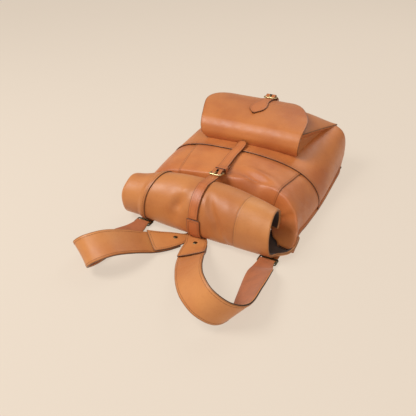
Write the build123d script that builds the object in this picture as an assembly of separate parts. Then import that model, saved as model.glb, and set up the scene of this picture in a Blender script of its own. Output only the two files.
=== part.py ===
"""Roll-top leather backpack lying on its back.

Frame: millimetres, +Z up.  The origin is the middle of the back panel on the surface the bag
lies on.  +X is the width, -Y points to the rolled top, +Y to the base, and the bag's front
faces +Z.
"""
import math
import os

from build123d import *

os.makedirs("parts", exist_ok=True)

# ---------------------------------------------------------------- driving dimensions
LEATHER = 2.5            # panel leather
FLAP_LEATHER = 2.2       # flap, chapes and narrow straps
SHOULDER_THICK = 3.4     # two layers glued and stitched
GAP = 0.4                # air between pieces of different bodies
FIT = 0.08               # radial clearance of a buckle bar in its loops
TAIL_RISE = 0.35         # air between a strap's tail and the chape under it

# body shell: y, half width, height, fullness of the left and of the right shoulder
BODY_SECTIONS = (
    (190.0, 156.0, 106.0, 5.0, 5.0),
    (110.0, 160.0, 99.0, 4.2, 3.8),
    (-12.0, 162.0, 91.0, 3.3, 2.4),
    (-75.0, 160.0, 87.0, 3.0, 2.6),
    (-116.0, 156.0, 81.0, 2.8, 3.3),
)
Y_BASE = BODY_SECTIONS[0][0]
Y_MOUTH = BODY_SECTIONS[-1][0]
Y_LAP_SEAM = -12.0
BACK_FLAT = 90.0         # half width of the part of the back that touches the surface
BACK_SKIM = 0.3          # planed off the back so that it is truly flat
STRAP_LIFT = 3.0         # the back's sides ride on the adjusting straps
BACK_SEAM_X = 140.0      # seam between the back panel and the side panels
BACK_SEAM_Z = 9.0
GUSSET_SEAM_LEFT = ((-104.0, Y_LAP_SEAM), (-82.0, Y_MOUTH))
GUSSET_SEAM_RIGHT = ((120.0, Y_LAP_SEAM), (113.0, Y_MOUTH))

# rolled top
ROLL_RADIUS = 45.0
ROLL_THICK = 5.0
ROLL_Y = -164.0
ROLL_NEAR = ROLL_Y - ROLL_RADIUS
ROLL_BOTTOM = 2.7
ROLL_Z = ROLL_BOTTOM + ROLL_RADIUS
ROLL_HALF = 147.0
ROLL_END_RADIUS = 36.0   # both ends are pulled smaller, and the left one is closed
ROLL_SEAM_LEFT = -100.0
ROLL_SEAM_RIGHT = 79.0
ROLL_CURL = -50.0        # angle at which the rolled sheet ends, inside the valley
ROLL_FULLNESS = 3.0      # the roll's lower front is squashed fuller than round, where it rests
YOKE_LAP = 60.0          # how far the yoke runs into the bag over the back panel

# closure strap and its buckle
STRAP_X = 0.0
STRAP_WIDTH = 17.0
PATCH_WIDTH = 23.6
STRAP_ROOT_ANGLE = 180.0
STRAP_TIP_Y = 10.0
STRAP_TIP_Z = 99.0
CLOSURE_HEEL = (STRAP_X, -118.0, 92.9)
CLOSURE_BAR_RISE = 12.0

# front pocket
POCKET_MOUTH = (34.0, 126.0)
POCKET_FOOT = (188.0, 99.0)
POCKET_HALF_MOUTH = 100.0
POCKET_HALF_FOOT = 130.0
POCKET_BULGE = 27.0
POCKET_BULGE_POWER = 2.6 # how flat the bulge is across the pocket
FLAP_AXIS = (18.0, 119.0)
FLAP_PROFILE = ((32.0, 132.5), (80.0, 143.5), (118.0, 145.5), (146.0, 142.5), (160.0, 138.6))
FLAP_X = -4.0
FLAP_HALF_HINGE = 106.0
FLAP_HALF_EDGE = 122.0
FLAP_CORNER = 55.0
POCKET_STRAP_X = -12.0
POCKET_STRAP_WIDTH = 20.0
POCKET_HEEL = (POCKET_STRAP_X, 158.0, 146.2)
POCKET_BAR_RISE = 9.0    # the buckle's front bar stands higher than its heel bar, in degrees
POCKET_CHAPE_FALL = 38.0 # the chape falls over the pocket's end, in degrees

# shoulder straps: centre, direction across the strap, width
SHOULDER_WIDTH = 48.0
RIGHT_STRAP = (
    ((11.5, -222.0, 3.6), (0.95, 0.30, 0.06), 38.0),
    ((19.0, -246.0, 6.5), (0.88, 0.46, 0.16), 44.0),
    ((27.0, -267.0, 13.0), (0.79, 0.54, 0.29), SHOULDER_WIDTH),
    ((46.0, -304.0, 34.0), (0.71, 0.58, 0.42), SHOULDER_WIDTH),
    ((68.0, -343.0, 49.0), (0.58, 0.54, 0.60), SHOULDER_WIDTH),
    ((88.0, -368.0, 53.0), (0.48, 0.46, 0.75), SHOULDER_WIDTH),
    ((113.0, -382.0, 47.0), (0.42, 0.31, 0.85), SHOULDER_WIDTH),
    ((138.0, -376.0, 33.0), (0.48, 0.17, 0.85), SHOULDER_WIDTH),
    ((151.0, -350.0, 22.0), (0.62, 0.10, 0.77), SHOULDER_WIDTH),
    ((147.0, -304.0, 19.0), (0.75, 0.12, 0.62), SHOULDER_WIDTH),
    ((140.0, -252.0, 13.5), (0.90, 0.08, 0.40), 44.0),
    ((137.0, -229.0, 6.5), (0.98, 0.02, 0.15), 33.0),
    ((136.0, -212.8, 4.2), (1.0, 0.0, 0.0), 27.0),
)
LEFT_STRAP = (
    ((-24.0, -225.0, 3.8), (-0.70, 0.71, 0.05), 34.0),
    ((-40.0, -243.0, 6.5), (-0.78, 0.60, 0.18), 42.0),
    ((-58.0, -262.0, 12.0), (-0.81, 0.50, 0.28), SHOULDER_WIDTH),
    ((-69.0, -298.0, 33.0), (-0.78, 0.50, 0.36), SHOULDER_WIDTH),
    ((-83.0, -333.0, 48.0), (-0.74, 0.51, 0.43), SHOULDER_WIDTH),
    ((-103.0, -357.0, 45.0), (-0.69, 0.48, 0.55), SHOULDER_WIDTH),
    ((-122.0, -357.0, 28.0), (-0.74, 0.31, 0.60), SHOULDER_WIDTH),
    ((-127.0, -335.0, 13.5), (-0.90, 0.17, 0.39), SHOULDER_WIDTH),
    ((-123.0, -306.0, 8.5), (-0.97, 0.17, 0.17), SHOULDER_WIDTH),
    ((-115.0, -262.0, 6.0), (-0.99, 0.14, 0.07), SHOULDER_WIDTH),
    ((-110.0, -233.0, 5.0), (-1.0, 0.05, 0.0), 36.0),
    ((-109.0, -212.6, 4.2), (-1.0, 0.0, 0.0), 27.0),
)
STEPS_PER_STATION = 2
TAB_THICK = 2.2
TAB_LIFT = (SHOULDER_THICK + TAB_THICK) / 2 + 1.2
RIGHT_TAB_ROOT = (
    ((5.0, -168.0, 1.3 - TAB_LIFT), (1.0, 0.05, 0.0), 17.0),
    ((6.5, -192.0, 3.0 - TAB_LIFT), (0.98, 0.20, 0.02), 22.0),
)
LEFT_TAB_ROOT = (
    ((-14.5, -168.0, 1.3 - TAB_LIFT), (-1.0, 0.05, 0.0), 16.0),
    ((-17.0, -194.0, 3.2 - TAB_LIFT), (-0.94, 0.34, 0.02), 18.0),
)
RIVETS = {"left": (-28.0, -225.0), "right": (12.0, -223.0)}
RIVET_TOP = 10.5
ADJUSTER_WIDTH = 25.0
ADJUSTER_THICK = 2.2
ADJUSTER_X = {"left": (-109.0, -124.0), "right": (136.0, 130.0)}   # at the slide, at the tab
SLIDE_Y = -207.0
LOWER_TAB_Y = (150.0, 186.0)


# ---------------------------------------------------------------- helpers
def save(node, shape):
    """Write one named piece."""
    shape.label = node
    export_step(shape, f"parts/{node}.step")
    return shape


def blend_rows(rows, position):
    """Interpolate a table of number rows smoothly at a fractional row position."""
    last = len(rows) - 1
    index = min(int(position), last - 1)
    t = position - index
    p0, p1 = rows[max(index - 1, 0)], rows[index]
    p2, p3 = rows[index + 1], rows[min(index + 2, last)]
    return [
        0.5 * (2 * b + (c - a) * t + (2 * a - 5 * b + 4 * c - d) * t**2 + (3 * b - a - 3 * c + d) * t**3)
        for a, b, c, d in zip(p0, p1, p2, p3)
    ]


def ribbon(stations, thickness, lift=0.0, steps=STEPS_PER_STATION):
    """A flat strap that bends and twists through its stations, raised off them by lift."""
    rows = [(*centre, *across, width) for centre, across, width in stations]
    count = (len(rows) - 1) * steps
    points = [blend_rows(rows, i / steps) for i in range(count + 1)]
    faces = []
    for i, row in enumerate(points):
        before, after = points[max(i - 1, 0)], points[min(i + 1, count)]
        along = (Vector(*after[:3]) - Vector(*before[:3])).normalized()
        across = Vector(*row[3:6])
        across = (across - along * across.dot(along)).normalized()
        side = across * (row[6] / 2)
        upward = along.cross(across)
        up = upward * (thickness / 2)
        centre = Vector(*row[:3]) + upward * math.copysign(lift, upward.Z)
        faces.append(Face(Wire.make_polygon([centre - side - up, centre + side - up,
                                             centre + side + up, centre - side + up])))
    return loft(faces, ruled=True)


def body_section(y, half, height, full_left, full_right, inset):
    """Closed outline of the bag at one y: a flat back with raised sides under a domed front."""
    floor = STRAP_LIFT + inset
    half, height = half - inset, height - inset
    samples = 8
    dome = []
    for i in range(2 * samples + 1):
        angle = math.pi * i / (2 * samples)
        fullness = full_right if i <= samples else full_left
        reach = abs(math.cos(angle)) ** (2 / fullness) * math.copysign(1, math.cos(angle))
        rise = math.sin(angle) ** (2 / fullness)
        dome.append((half * reach, y, floor + (height - floor) * rise))
    dome[0], dome[-1] = (half, y, floor), (-half, y, floor)
    flat, ramp = BACK_FLAT, BACK_FLAT + 5
    low = inset - BACK_SKIM
    corners = [(-half, y, floor), (-ramp, y, floor), (-flat, y, low), (flat, y, low),
               (ramp, y, floor), (half, y, floor)]
    edges = [Spline(*dome)] + [Line(a, b) for a, b in zip(corners, corners[1:])]
    return Face(Wire(edges))


def body_solid(inset, y_end, y_mouth):
    """Loft of the bag's sections, moved inwards by inset and cut to two end planes."""
    faces = []
    for y, *shape in BODY_SECTIONS:
        place = y_end if y == Y_BASE else y_mouth if y == Y_MOUTH else y
        faces.append(body_section(place, *shape, inset))
    return loft(faces)


def seam_block(seam, side):
    """Everything beyond a gusset seam, as a tall block."""
    (x1, y1), (x2, y2) = seam
    far = side * 400
    outline = Polyline((x1, y1 + 1), (far, y1 + 1), (far, y2 - 20), (x2, y2 - 20), (x2, y2), close=True)
    return upright(outline, 400)


def upright(outline, height):
    """A flat outline in the XY plane raised into a prism."""
    return extrude(make_face(outline), height, dir=(0, 0, 1))


def box_between(low, high):
    """A box from its lowest and highest corners."""
    size = [b - a for a, b in zip(low, high)]
    middle = [(a + b) / 2 for a, b in zip(low, high)]
    return Pos(*middle) * Box(*size)


def band(points, thickness, samples=6):
    """A sheet's cross-section, drawn as (y, z): a smooth line with thickness."""
    line = Spline(*points)
    count = samples * (len(points) - 1)
    above, below = [], []
    for i in range(count + 1):
        along = line % (i / count)
        side = Vector(-along.Y, along.X) * (thickness / 2)
        above.append((line @ (i / count)) + side)
        below.append((line @ (i / count)) - side)
    edges = [Spline(*above), Line(above[-1], below[-1]), Spline(*reversed(below)), Line(below[0], above[0])]
    return Face(Wire(edges))


def along_x(face_yz, x_low, x_high):
    """Extrude a face drawn as (y, z) from one x to another."""
    return Pos(x_low, 0, 0) * extrude(Plane.YZ * face_yz, x_high - x_low, dir=(1, 0, 0))


# ---------------------------------------------------------------- body panels
outer = body_solid(0, Y_BASE, Y_MOUTH) & box_between((-400, -400, 0), (400, 400, 400))
inner = body_solid(LEATHER, Y_BASE - LEATHER, Y_MOUTH - 1)
shell = outer - inner

back_block = box_between((-BACK_SEAM_X, -400, -1), (BACK_SEAM_X, Y_BASE - LEATHER, BACK_SEAM_Z))
base_block = box_between((-400, Y_BASE - LEATHER, -1), (400, 400, 400))
upper_block = box_between((-400, -400, -1), (400, Y_LAP_SEAM, 400))

back_panel = shell & back_block
base_panel = shell & base_block
front = shell - back_block - base_block
lower_wrap = front - upper_block
upper = front & upper_block
gusset_left = upper & seam_block(GUSSET_SEAM_LEFT, -1)
gusset_right = upper & seam_block(GUSSET_SEAM_RIGHT, 1)
upper_front = upper - seam_block(GUSSET_SEAM_LEFT, -1) - seam_block(GUSSET_SEAM_RIGHT, 1)

save("back_panel", back_panel)
save("base_panel", base_panel)
save("lower_wrap", lower_wrap)
save("side_gusset_left", gusset_left)
save("side_gusset_right", gusset_right)
save("upper_front_panel", upper_front)


# ---------------------------------------------------------------- rolled top
def roll_point(centre_y, centre_z, radius, degrees):
    """A (y, z) point on the roll: round, but fuller between 180 and 270 degrees, where it rests."""
    angle = math.radians(degrees)
    cosine, sine = math.cos(angle), math.sin(angle)
    power = 2 / ROLL_FULLNESS if 180 < degrees < 270 else 1
    return (centre_y + radius * math.copysign(abs(cosine) ** power, cosine),
            centre_z + radius * math.copysign(abs(sine) ** power, sine))


def roll_face(x, radius, tail):
    """The rolled sheet's section at one x: a C with a straight tail along the back."""
    centre_y, centre_z = ROLL_NEAR + radius, ROLL_BOTTOM + radius
    small = radius - ROLL_THICK

    def on(r, degrees):
        return (x, *roll_point(centre_y, centre_z, r, degrees))

    middle = (ROLL_CURL + 180) / 2
    lower = (180, 187, 198, 210, 225, 240, 252, 263, 270)
    edges = [
        ThreePointArc(on(radius, ROLL_CURL), on(radius, middle), on(radius, 180)),
        Spline(*[on(radius, a) for a in lower]),
        Line(on(radius, 270), (x, ROLL_Y + tail, ROLL_BOTTOM)),
        Line((x, ROLL_Y + tail, ROLL_BOTTOM), (x, ROLL_Y + tail, ROLL_BOTTOM + ROLL_THICK)),
        Line((x, ROLL_Y + tail, ROLL_BOTTOM + ROLL_THICK), on(small, 270)),
        Spline(*[on(small, a) for a in reversed(lower)]),
        ThreePointArc(on(small, 180), on(small, middle), on(small, ROLL_CURL)),
        Line(on(small, ROLL_CURL), on(radius, ROLL_CURL)),
    ]
    return Face(Wire(edges))


def roll_span(x1, radius1, x2, radius2, tail):
    """A stretch of the rolled top between two x positions."""
    return loft([roll_face(x1, radius1, tail), roll_face(x2, radius2, tail)], ruled=True)


yoke_centre = roll_span(ROLL_SEAM_LEFT, ROLL_RADIUS, ROLL_SEAM_RIGHT, ROLL_RADIUS, YOKE_LAP) - back_panel
yoke_right = roll_span(ROLL_SEAM_RIGHT, ROLL_RADIUS, ROLL_HALF, ROLL_END_RADIUS, 34)
yoke_left = roll_span(-ROLL_HALF, ROLL_END_RADIUS, ROLL_SEAM_LEFT, ROLL_RADIUS, 34)
closed_end = Pos(-ROLL_HALF, ROLL_NEAR + ROLL_END_RADIUS, ROLL_BOTTOM + ROLL_END_RADIUS) * Rot(0, 90, 0) * Cylinder(
    ROLL_END_RADIUS - 0.5, LEATHER, align=(Align.CENTER, Align.CENTER, Align.MIN))
yoke_left = yoke_left + closed_end
save("roll_yoke_centre", yoke_centre)
save("roll_yoke_right", yoke_right)
save("roll_yoke_left", yoke_left)


# ---------------------------------------------------------------- buckles
BAR = 1.5                # radius of a buckle's heel bar
FRAME_THICK = 2.8
CHAPE_THICK = 3.2
PRONG_RADIUS = 1.3
SNAP_RADIUS = 6.5
SNAP_CAP = 1.8
KEEPER_WIDTH = 10.0
KEEPER_WALL = 1.8
CHAPE_LENGTH = 34.0
BAR_DISTANCE = {STRAP_WIDTH: 15.0, POCKET_STRAP_WIDTH: 11.6}   # heel bar to front bar
KEEPER_Y = {STRAP_WIDTH: 15.0, POCKET_STRAP_WIDTH: 14.4}
SNAP_Y = {STRAP_WIDTH: 27.2, POCKET_STRAP_WIDTH: 27.0}


def turned(point, heel, degrees):
    """A (y, z) point given about the heel bar, turned so that its -Y side rises by degrees."""
    angle = math.radians(degrees)
    y, z = point
    return (heel[1] + y * math.cos(angle) + z * math.sin(angle),
            heel[2] - y * math.sin(angle) + z * math.cos(angle))


def buckle(width, heel, rise, fall):
    """A strap buckle on its chape, placed with its heel bar along X at heel.

    The front bar is on the -Y side and rises by rise degrees, the chape leaves towards +Y and
    falls by fall degrees.  Returns the frame, the prong, the chape and the keeper.
    """
    inside = width / 2 + 0.9
    side_bar = 2.6
    reach = BAR_DISTANCE[width]
    ring = Pos(0, BAR) * Rectangle(2 * (inside + side_bar), reach + 2 * BAR, align=(Align.CENTER, Align.MAX))
    hole = Pos(0, 2) * Rectangle(2 * inside, reach + 0.5, align=(Align.CENTER, Align.MAX))
    frame = extrude(ring - hole, FRAME_THICK / 2, both=True)
    frame = fillet(frame.edges().filter_by(Axis.Z).group_by(Axis.Y)[0], 2.6)
    frame += Rot(0, 90, 0) * Cylinder(BAR, 2 * inside + 2)

    eye = 3.0
    loop = Rot(0, 90, 0) * (Cylinder(eye, 3) - Cylinder(BAR + FIT, 4))
    start = Vector(0, -eye + 0.6, 1.2)
    rest = Vector(0, -reach, FRAME_THICK / 2 + PRONG_RADIUS + 0.3)
    shank_way = Line(start, rest + (rest - start).normalized() * 2.5)
    shank = sweep(Plane(origin=shank_way @ 0, z_dir=shank_way % 0) * Circle(PRONG_RADIUS), shank_way)
    prong = loop + (shank - Rot(0, 90, 0) * Cylinder(BAR + FIT, 8))

    half, length = width / 2, CHAPE_LENGTH
    wrap = Rot(0, 90, 0) * Cylinder(CHAPE_THICK, 2 * half)
    tongue = box_between((-half, 0, -CHAPE_THICK), (half, length, 0))
    chape = wrap + tongue - Rot(0, 90, 0) * Cylinder(BAR + FIT, 4 * half)
    chape -= box_between((-2.4, -9, -9), (2.4, 4.2, 9))

    keeper_y, wall = KEEPER_Y[width], KEEPER_WALL
    wide, low, high = half + GAP, -CHAPE_THICK - 0.2, TAIL_RISE + FLAP_LEATHER + 0.5
    keeper = box_between((-wide - wall, keeper_y - KEEPER_WIDTH / 2, low - wall),
                         (wide + wall, keeper_y + KEEPER_WIDTH / 2, high + wall))
    keeper -= box_between((-wide, keeper_y - 9, low), (wide, keeper_y + 9, high))
    bar_place, chape_place = Pos(*heel) * Rot(-rise, 0, 0), Pos(*heel) * Rot(-fall, 0, 0)
    return bar_place * frame, bar_place * prong, chape_place * chape, chape_place * keeper


def snap(width, heel, fall, stud_height):
    """A hidden snap under the chape: the cap that rides with it and the stud it presses onto."""
    place = Pos(*heel) * Rot(-fall, 0, 0)
    down = (Align.CENTER, Align.CENTER, Align.MAX)
    y = SNAP_Y[width]
    cap = place * Pos(0, y, -CHAPE_THICK) * Cylinder(SNAP_RADIUS, SNAP_CAP, align=down)
    stud = place * Pos(0, y, -CHAPE_THICK - SNAP_CAP - GAP) * Cylinder(SNAP_RADIUS, stud_height, align=down)
    return cap, stud


def threaded(width, heel, rise, fall, tail):
    """The (y, z) points of a strap that goes under the front bar and over the heel bar."""
    half = FLAP_LEATHER / 2
    reach = BAR_DISTANCE[width]
    before = [(-reach, -FRAME_THICK / 2 - 0.9 - half), (-reach * 0.5, 1.1)]
    top = CHAPE_THICK + 0.45 + half
    after = [(6, 3.1), (11, TAIL_RISE + half), (17, TAIL_RISE + half), (tail, TAIL_RISE + half)]
    return ([turned(p, heel, rise) for p in before] + [turned((0, top), heel, (rise + fall) / 2)]
            + [turned(p, heel, fall) for p in after])


def strap_slot(width, heel, rise):
    """The slot in a strap that lets the prong through and swing."""
    reach = BAR_DISTANCE[width]
    return Pos(*heel) * Rot(-rise, 0, 0) * box_between((-2.4, -reach + 1.5, -5), (2.4, 3.4, 12))


# ---------------------------------------------------------------- closure strap
def on_roll(radius, degrees):
    """A point (y, z) round the middle of the roll at a radius."""
    return roll_point(ROLL_Y, ROLL_Z, radius, degrees)


frame, prong, chape, keeper = buckle(STRAP_WIDTH, CLOSURE_HEEL, CLOSURE_BAR_RISE, 0)
cap, stud = snap(STRAP_WIDTH, CLOSURE_HEEL, 0, 3.5)
strap_radius = ROLL_RADIUS + GAP + FLAP_LEATHER / 2
closure_line = [on_roll(strap_radius, a) for a in (STRAP_ROOT_ANGLE, 160, 138, 116, 96)]
closure_line += threaded(STRAP_WIDTH, CLOSURE_HEEL, CLOSURE_BAR_RISE, 0, 26)
closure_line += [(CLOSURE_HEEL[1] + 75, CLOSURE_HEEL[2] + 2.4), (CLOSURE_HEEL[1] + 108, CLOSURE_HEEL[2] + 3.4),
                 (STRAP_TIP_Y, STRAP_TIP_Z)]
closure_strap = along_x(band(closure_line, FLAP_LEATHER), -STRAP_WIDTH / 2, STRAP_WIDTH / 2)
tip = Pos(0, STRAP_TIP_Y - STRAP_WIDTH / 2, 100) * Cylinder(STRAP_WIDTH / 2, 60)
tip_block = box_between((-20, STRAP_TIP_Y - STRAP_WIDTH / 2, 70), (20, STRAP_TIP_Y + 5, 130))
closure_strap = Pos(STRAP_X, 0, 0) * (closure_strap - (tip_block - tip))
closure_strap -= strap_slot(STRAP_WIDTH, CLOSURE_HEEL, CLOSURE_BAR_RISE)
patch_line = [on_roll(ROLL_RADIUS + 0.05 + FLAP_LEATHER / 2, STRAP_ROOT_ANGLE + 1.7 + 5.5 * i) for i in range(10)]
anchor_patch = along_x(band(patch_line, FLAP_LEATHER), STRAP_X - PATCH_WIDTH / 2, STRAP_X + PATCH_WIDTH / 2)
anchor_patch -= yoke_centre

save("closure_strap", closure_strap)
save("closure_anchor_patch", anchor_patch)
save("closure_buckle_frame", frame)
save("closure_buckle_prong", prong)
save("closure_chape", chape)
save("closure_keeper", keeper)
save("closure_snap_cap", cap)
save("closure_snap_stud", stud - outer)


# ---------------------------------------------------------------- front pocket
def pocket_section(side):
    """The pocket front's section at a fraction of its half width, -1 to 1."""
    (y1, z1), (y2, z2) = POCKET_MOUTH, POCKET_FOOT
    crown = POCKET_BULGE * (1 - abs(side) ** POCKET_BULGE_POWER)
    top, under = [], []
    for i in range(9):
        t = i / 8
        y = y1 + (y2 - y1) * t
        x = side * (POCKET_HALF_MOUTH + (POCKET_HALF_FOOT - POCKET_HALF_MOUTH) * t)
        z = z1 + (z2 - z1) * t + crown * math.sin(math.pi * t**1.5) ** 0.55
        top.append((x, y, z + LEATHER / 2))
        under.append((x, y, z - LEATHER / 2))
    edges = [Spline(*top), Line(top[-1], under[-1]), Spline(*reversed(under)), Line(under[0], top[0])]
    return Face(Wire(edges))


pocket_front = loft([pocket_section(s) for s in (-1, -0.75, -0.4, 0, 0.4, 0.75, 1)]) - outer


def gusset_fold(side):
    """A pleated pocket side: one inward fold that dies out at the base corner."""
    near, far = [], []
    y1, y2 = POCKET_MOUTH[0], POCKET_FOOT[0] - 3
    top1, top2 = POCKET_MOUTH[1] - LEATHER / 2 - 0.2, POCKET_FOOT[1] - LEATHER / 2 + 0.2
    skin = 1.8
    for x, z in ((POCKET_HALF_MOUTH, top1), (POCKET_HALF_MOUTH - 15, 108), (POCKET_HALF_MOUTH, 84)):
        near.append((x, z))
    for x, z in ((POCKET_HALF_FOOT, top2), (POCKET_HALF_FOOT - 3, top2 - 4), (POCKET_HALF_FOOT, 80)):
        far.append((x, z))
    faces = []
    for y, rows in ((y1, near), (y2, far)):
        outlines = [(x, z) for x, z in rows] + [(x - skin, z) for x, z in reversed(rows)]
        faces.append(Face(Wire.make_polygon([(side * x, y, z) for x, z in outlines])))
    return loft(faces, ruled=True) - outer


save("pocket_front", pocket_front)
for name, side in (("left", -1), ("right", 1)):
    save(f"pocket_gusset_{name}", gusset_fold(side))

# flap: a riser sewn to the bag, and the cover that turns about the crease at the pocket's mouth
axis_y, axis_z = FLAP_AXIS
riser_line = [(24, 86), (16.5, 95), (13.5, 105), (axis_y - 1.8, axis_z - 2.9)]
riser = along_x(band(riser_line, FLAP_LEATHER), FLAP_X - FLAP_HALF_HINGE + 2, FLAP_X + FLAP_HALF_HINGE - 2) - outer
flap_face = band([FLAP_AXIS, *FLAP_PROFILE], FLAP_LEATHER)
flap_sheet = along_x(flap_face, -200, 200)
edge_y = FLAP_PROFILE[-1][0] + 2
flap_outline = Polyline(
    (-FLAP_HALF_HINGE, axis_y - 5), (FLAP_HALF_HINGE, axis_y - 5), (FLAP_HALF_EDGE, edge_y - 75),
    (FLAP_HALF_EDGE, edge_y), (-FLAP_HALF_EDGE, edge_y), (-FLAP_HALF_EDGE, edge_y - 75), close=True)
flap_plan = make_face(flap_outline)
flap_plan = fillet(flap_plan.vertices().group_by(Axis.Y)[-1], FLAP_CORNER)
pocket_flap = flap_sheet & Pos(FLAP_X, 0, 60) * extrude(flap_plan, 200, dir=(0, 0, 1))
save("pocket_flap_riser", riser)
save("pocket_flap", pocket_flap)

# pocket strap: a shield sewn on the flap that narrows into the buckled strap
flap_line = Spline(FLAP_AXIS, *FLAP_PROFILE)


def on_flap(fraction):
    """The middle (y, z) of a strap that lies on the flap, at a fraction of the flap's length."""
    point, along = flap_line @ fraction, flap_line % fraction
    lift = FLAP_LEATHER + 0.15
    return (point.X - along.Y * lift, point.Y + along.X * lift)


pocket_buckle = (POCKET_STRAP_WIDTH, POCKET_HEEL, POCKET_BAR_RISE, POCKET_CHAPE_FALL)
frame, prong, chape, keeper = buckle(*pocket_buckle)
cap, stud = snap(POCKET_STRAP_WIDTH, POCKET_HEEL, POCKET_CHAPE_FALL, 14)
pocket_line = [on_flap(f) for f in (0.28, 0.40, 0.54, 0.68, 0.80, 0.87)] + threaded(*pocket_buckle, 36)
narrow = POCKET_STRAP_WIDTH / 2
shield = Polyline(
    (0, 60), (10, 66), (17, 84), (16, 98), (narrow, 118), (narrow, 200),
    (-narrow, 200), (-narrow, 118), (-16, 98), (-17, 84), (-10, 66), close=True)
pocket_strap = along_x(band(pocket_line, FLAP_LEATHER), -20, 20) & Pos(0, 0, 90) * upright(shield, 100)
pocket_strap = Pos(POCKET_STRAP_X, 0, 0) * pocket_strap
pocket_strap -= strap_slot(POCKET_STRAP_WIDTH, POCKET_HEEL, POCKET_BAR_RISE)
stud = (stud - pocket_front).solids().sort_by(Axis.Z)[-1]
save("pocket_strap", pocket_strap)
save("pocket_buckle_frame", frame)
save("pocket_buckle_prong", prong)
save("pocket_chape", chape)
save("pocket_keeper", keeper)
save("pocket_snap_cap", cap)
save("pocket_snap_stud", stud)

# ---------------------------------------------------------------- shoulder straps
strap_stations = {"left": LEFT_STRAP, "right": RIGHT_STRAP}
tab_roots = {"left": LEFT_TAB_ROOT, "right": RIGHT_TAB_ROOT}
rivets = []
for name, stations in strap_stations.items():
    strap = ribbon(stations, SHOULDER_THICK)
    tab = ribbon(tab_roots[name] + stations[:3], TAB_THICK, TAB_LIFT)
    x, y = RIVETS[name]
    shank = Pos(x, y, 0) * Cylinder(1.5, 30)
    cap = Pos(x, y, RIVET_TOP - 4) * Cylinder(4, 4, align=(Align.CENTER, Align.CENTER, Align.MIN))
    cap = fillet(cap.edges().group_by(Axis.Z)[-1], 1.2) - tab
    cap = cap.solids().sort_by(Axis.Z)[-1]
    strap -= shank
    tab -= shank
    rivets.append(cap + (shank & box_between((x - 4, y - 4, 2.2), (x + 4, y + 4, RIVET_TOP - 0.5))))
    save(f"shoulder_strap_{name}", strap)
    save(f"strap_tab_{name}", tab)
save("strap_rivets", Compound(children=rivets))

# ---------------------------------------------------------------- adjusting straps
for name, (x_slide, x_tab) in ADJUSTER_X.items():
    half = ADJUSTER_WIDTH / 2
    start, end = SLIDE_Y + 4, LOWER_TAB_Y[0]
    outline = Polyline((x_slide - half, start), (x_slide + half, start), (x_tab + half, end),
                       (x_tab - half, end), close=True)
    save(f"adjusting_strap_{name}", extrude(make_face(outline), ADJUSTER_THICK))
    slide = Rectangle(ADJUSTER_WIDTH + 9, 17) - Pos(0, 3.9) * Rectangle(ADJUSTER_WIDTH + 3, 4.0)
    slide -= Pos(0, -3.9) * Rectangle(ADJUSTER_WIDTH + 3, 4.0)
    slide = fillet(slide.vertices().group_by(Axis.Y)[0] + slide.vertices().group_by(Axis.Y)[-1], 2)
    save(f"adjuster_slide_{name}", Pos(x_slide, SLIDE_Y + 3.5, ADJUSTER_THICK + 0.2) * extrude(slide, 2.6))
    tab_outline = Polyline((x_tab - 15, end), (x_tab + 15, end), (x_tab + 19, LOWER_TAB_Y[1]),
                           (x_tab - 19, LOWER_TAB_Y[1]), close=True)
    save(f"lower_strap_tab_{name}", extrude(make_face(tab_outline), ADJUSTER_THICK))
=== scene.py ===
"""Leather roll-top backpack lying on its back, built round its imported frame.

Sizes are in millimetres in the bag's own frame: +X across, -Y to the rolled top, +Z out of
the bag's front.  Meshes are scaled to metres when they are made.
"""
import logging
import math
from dataclasses import dataclass
from enum import Enum
from typing import Callable, Sequence

import bpy
import numpy as np
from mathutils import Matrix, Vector


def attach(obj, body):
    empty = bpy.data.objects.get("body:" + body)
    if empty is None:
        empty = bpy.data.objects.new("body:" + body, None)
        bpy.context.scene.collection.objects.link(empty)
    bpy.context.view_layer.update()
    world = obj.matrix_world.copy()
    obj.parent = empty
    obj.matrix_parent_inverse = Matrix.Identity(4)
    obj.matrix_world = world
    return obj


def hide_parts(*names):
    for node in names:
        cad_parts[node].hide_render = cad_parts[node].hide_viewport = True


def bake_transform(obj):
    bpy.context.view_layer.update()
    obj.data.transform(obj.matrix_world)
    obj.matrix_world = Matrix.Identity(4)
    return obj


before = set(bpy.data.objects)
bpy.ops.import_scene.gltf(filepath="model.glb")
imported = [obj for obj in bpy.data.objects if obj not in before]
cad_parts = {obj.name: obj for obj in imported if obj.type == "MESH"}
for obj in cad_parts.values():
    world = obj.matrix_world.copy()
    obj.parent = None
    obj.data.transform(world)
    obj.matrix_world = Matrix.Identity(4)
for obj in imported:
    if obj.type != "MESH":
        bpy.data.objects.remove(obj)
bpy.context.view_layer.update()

MM = 0.001
log = logging.getLogger("backpack")

Array = np.ndarray
Point = tuple[float, float, float]


# ------------------------------------------------------------------ curves and grids
def smooth_rows(rows: Sequence[Sequence[float]], count: int) -> Array:
    """Interpolate number rows with a Catmull-Rom curve.

    Args:
        rows: The control rows, each with the same number of values.
        count: How many rows to return, evenly spread over the control rows.

    Returns:
        An array of count interpolated rows.
    """
    table = np.asarray(rows, float)
    last = len(table) - 1
    place = np.linspace(0, last, count)
    index = np.minimum(place.astype(int), last - 1)
    t = (place - index)[:, None]
    before, start = table[np.maximum(index - 1, 0)], table[index]
    end, after = table[index + 1], table[np.minimum(index + 2, last)]
    return 0.5 * (2 * start + (end - before) * t + (2 * before - 5 * start + 4 * end - after) * t**2
                  + (3 * start - before - 3 * end + after) * t**3)


def even(points: Array, count: int) -> Array:
    """Respace points along their own line.

    Args:
        points: The line's points, one per row.
        count: How many evenly spaced points to return.

    Returns:
        The respaced points.
    """
    steps = np.linalg.norm(np.diff(points, axis=0), axis=1)
    length = np.concatenate([[0], np.cumsum(steps)])
    want = np.linspace(0, length[-1], count)
    return np.stack([np.interp(want, length, points[:, k]) for k in range(points.shape[1])], axis=1)


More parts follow.
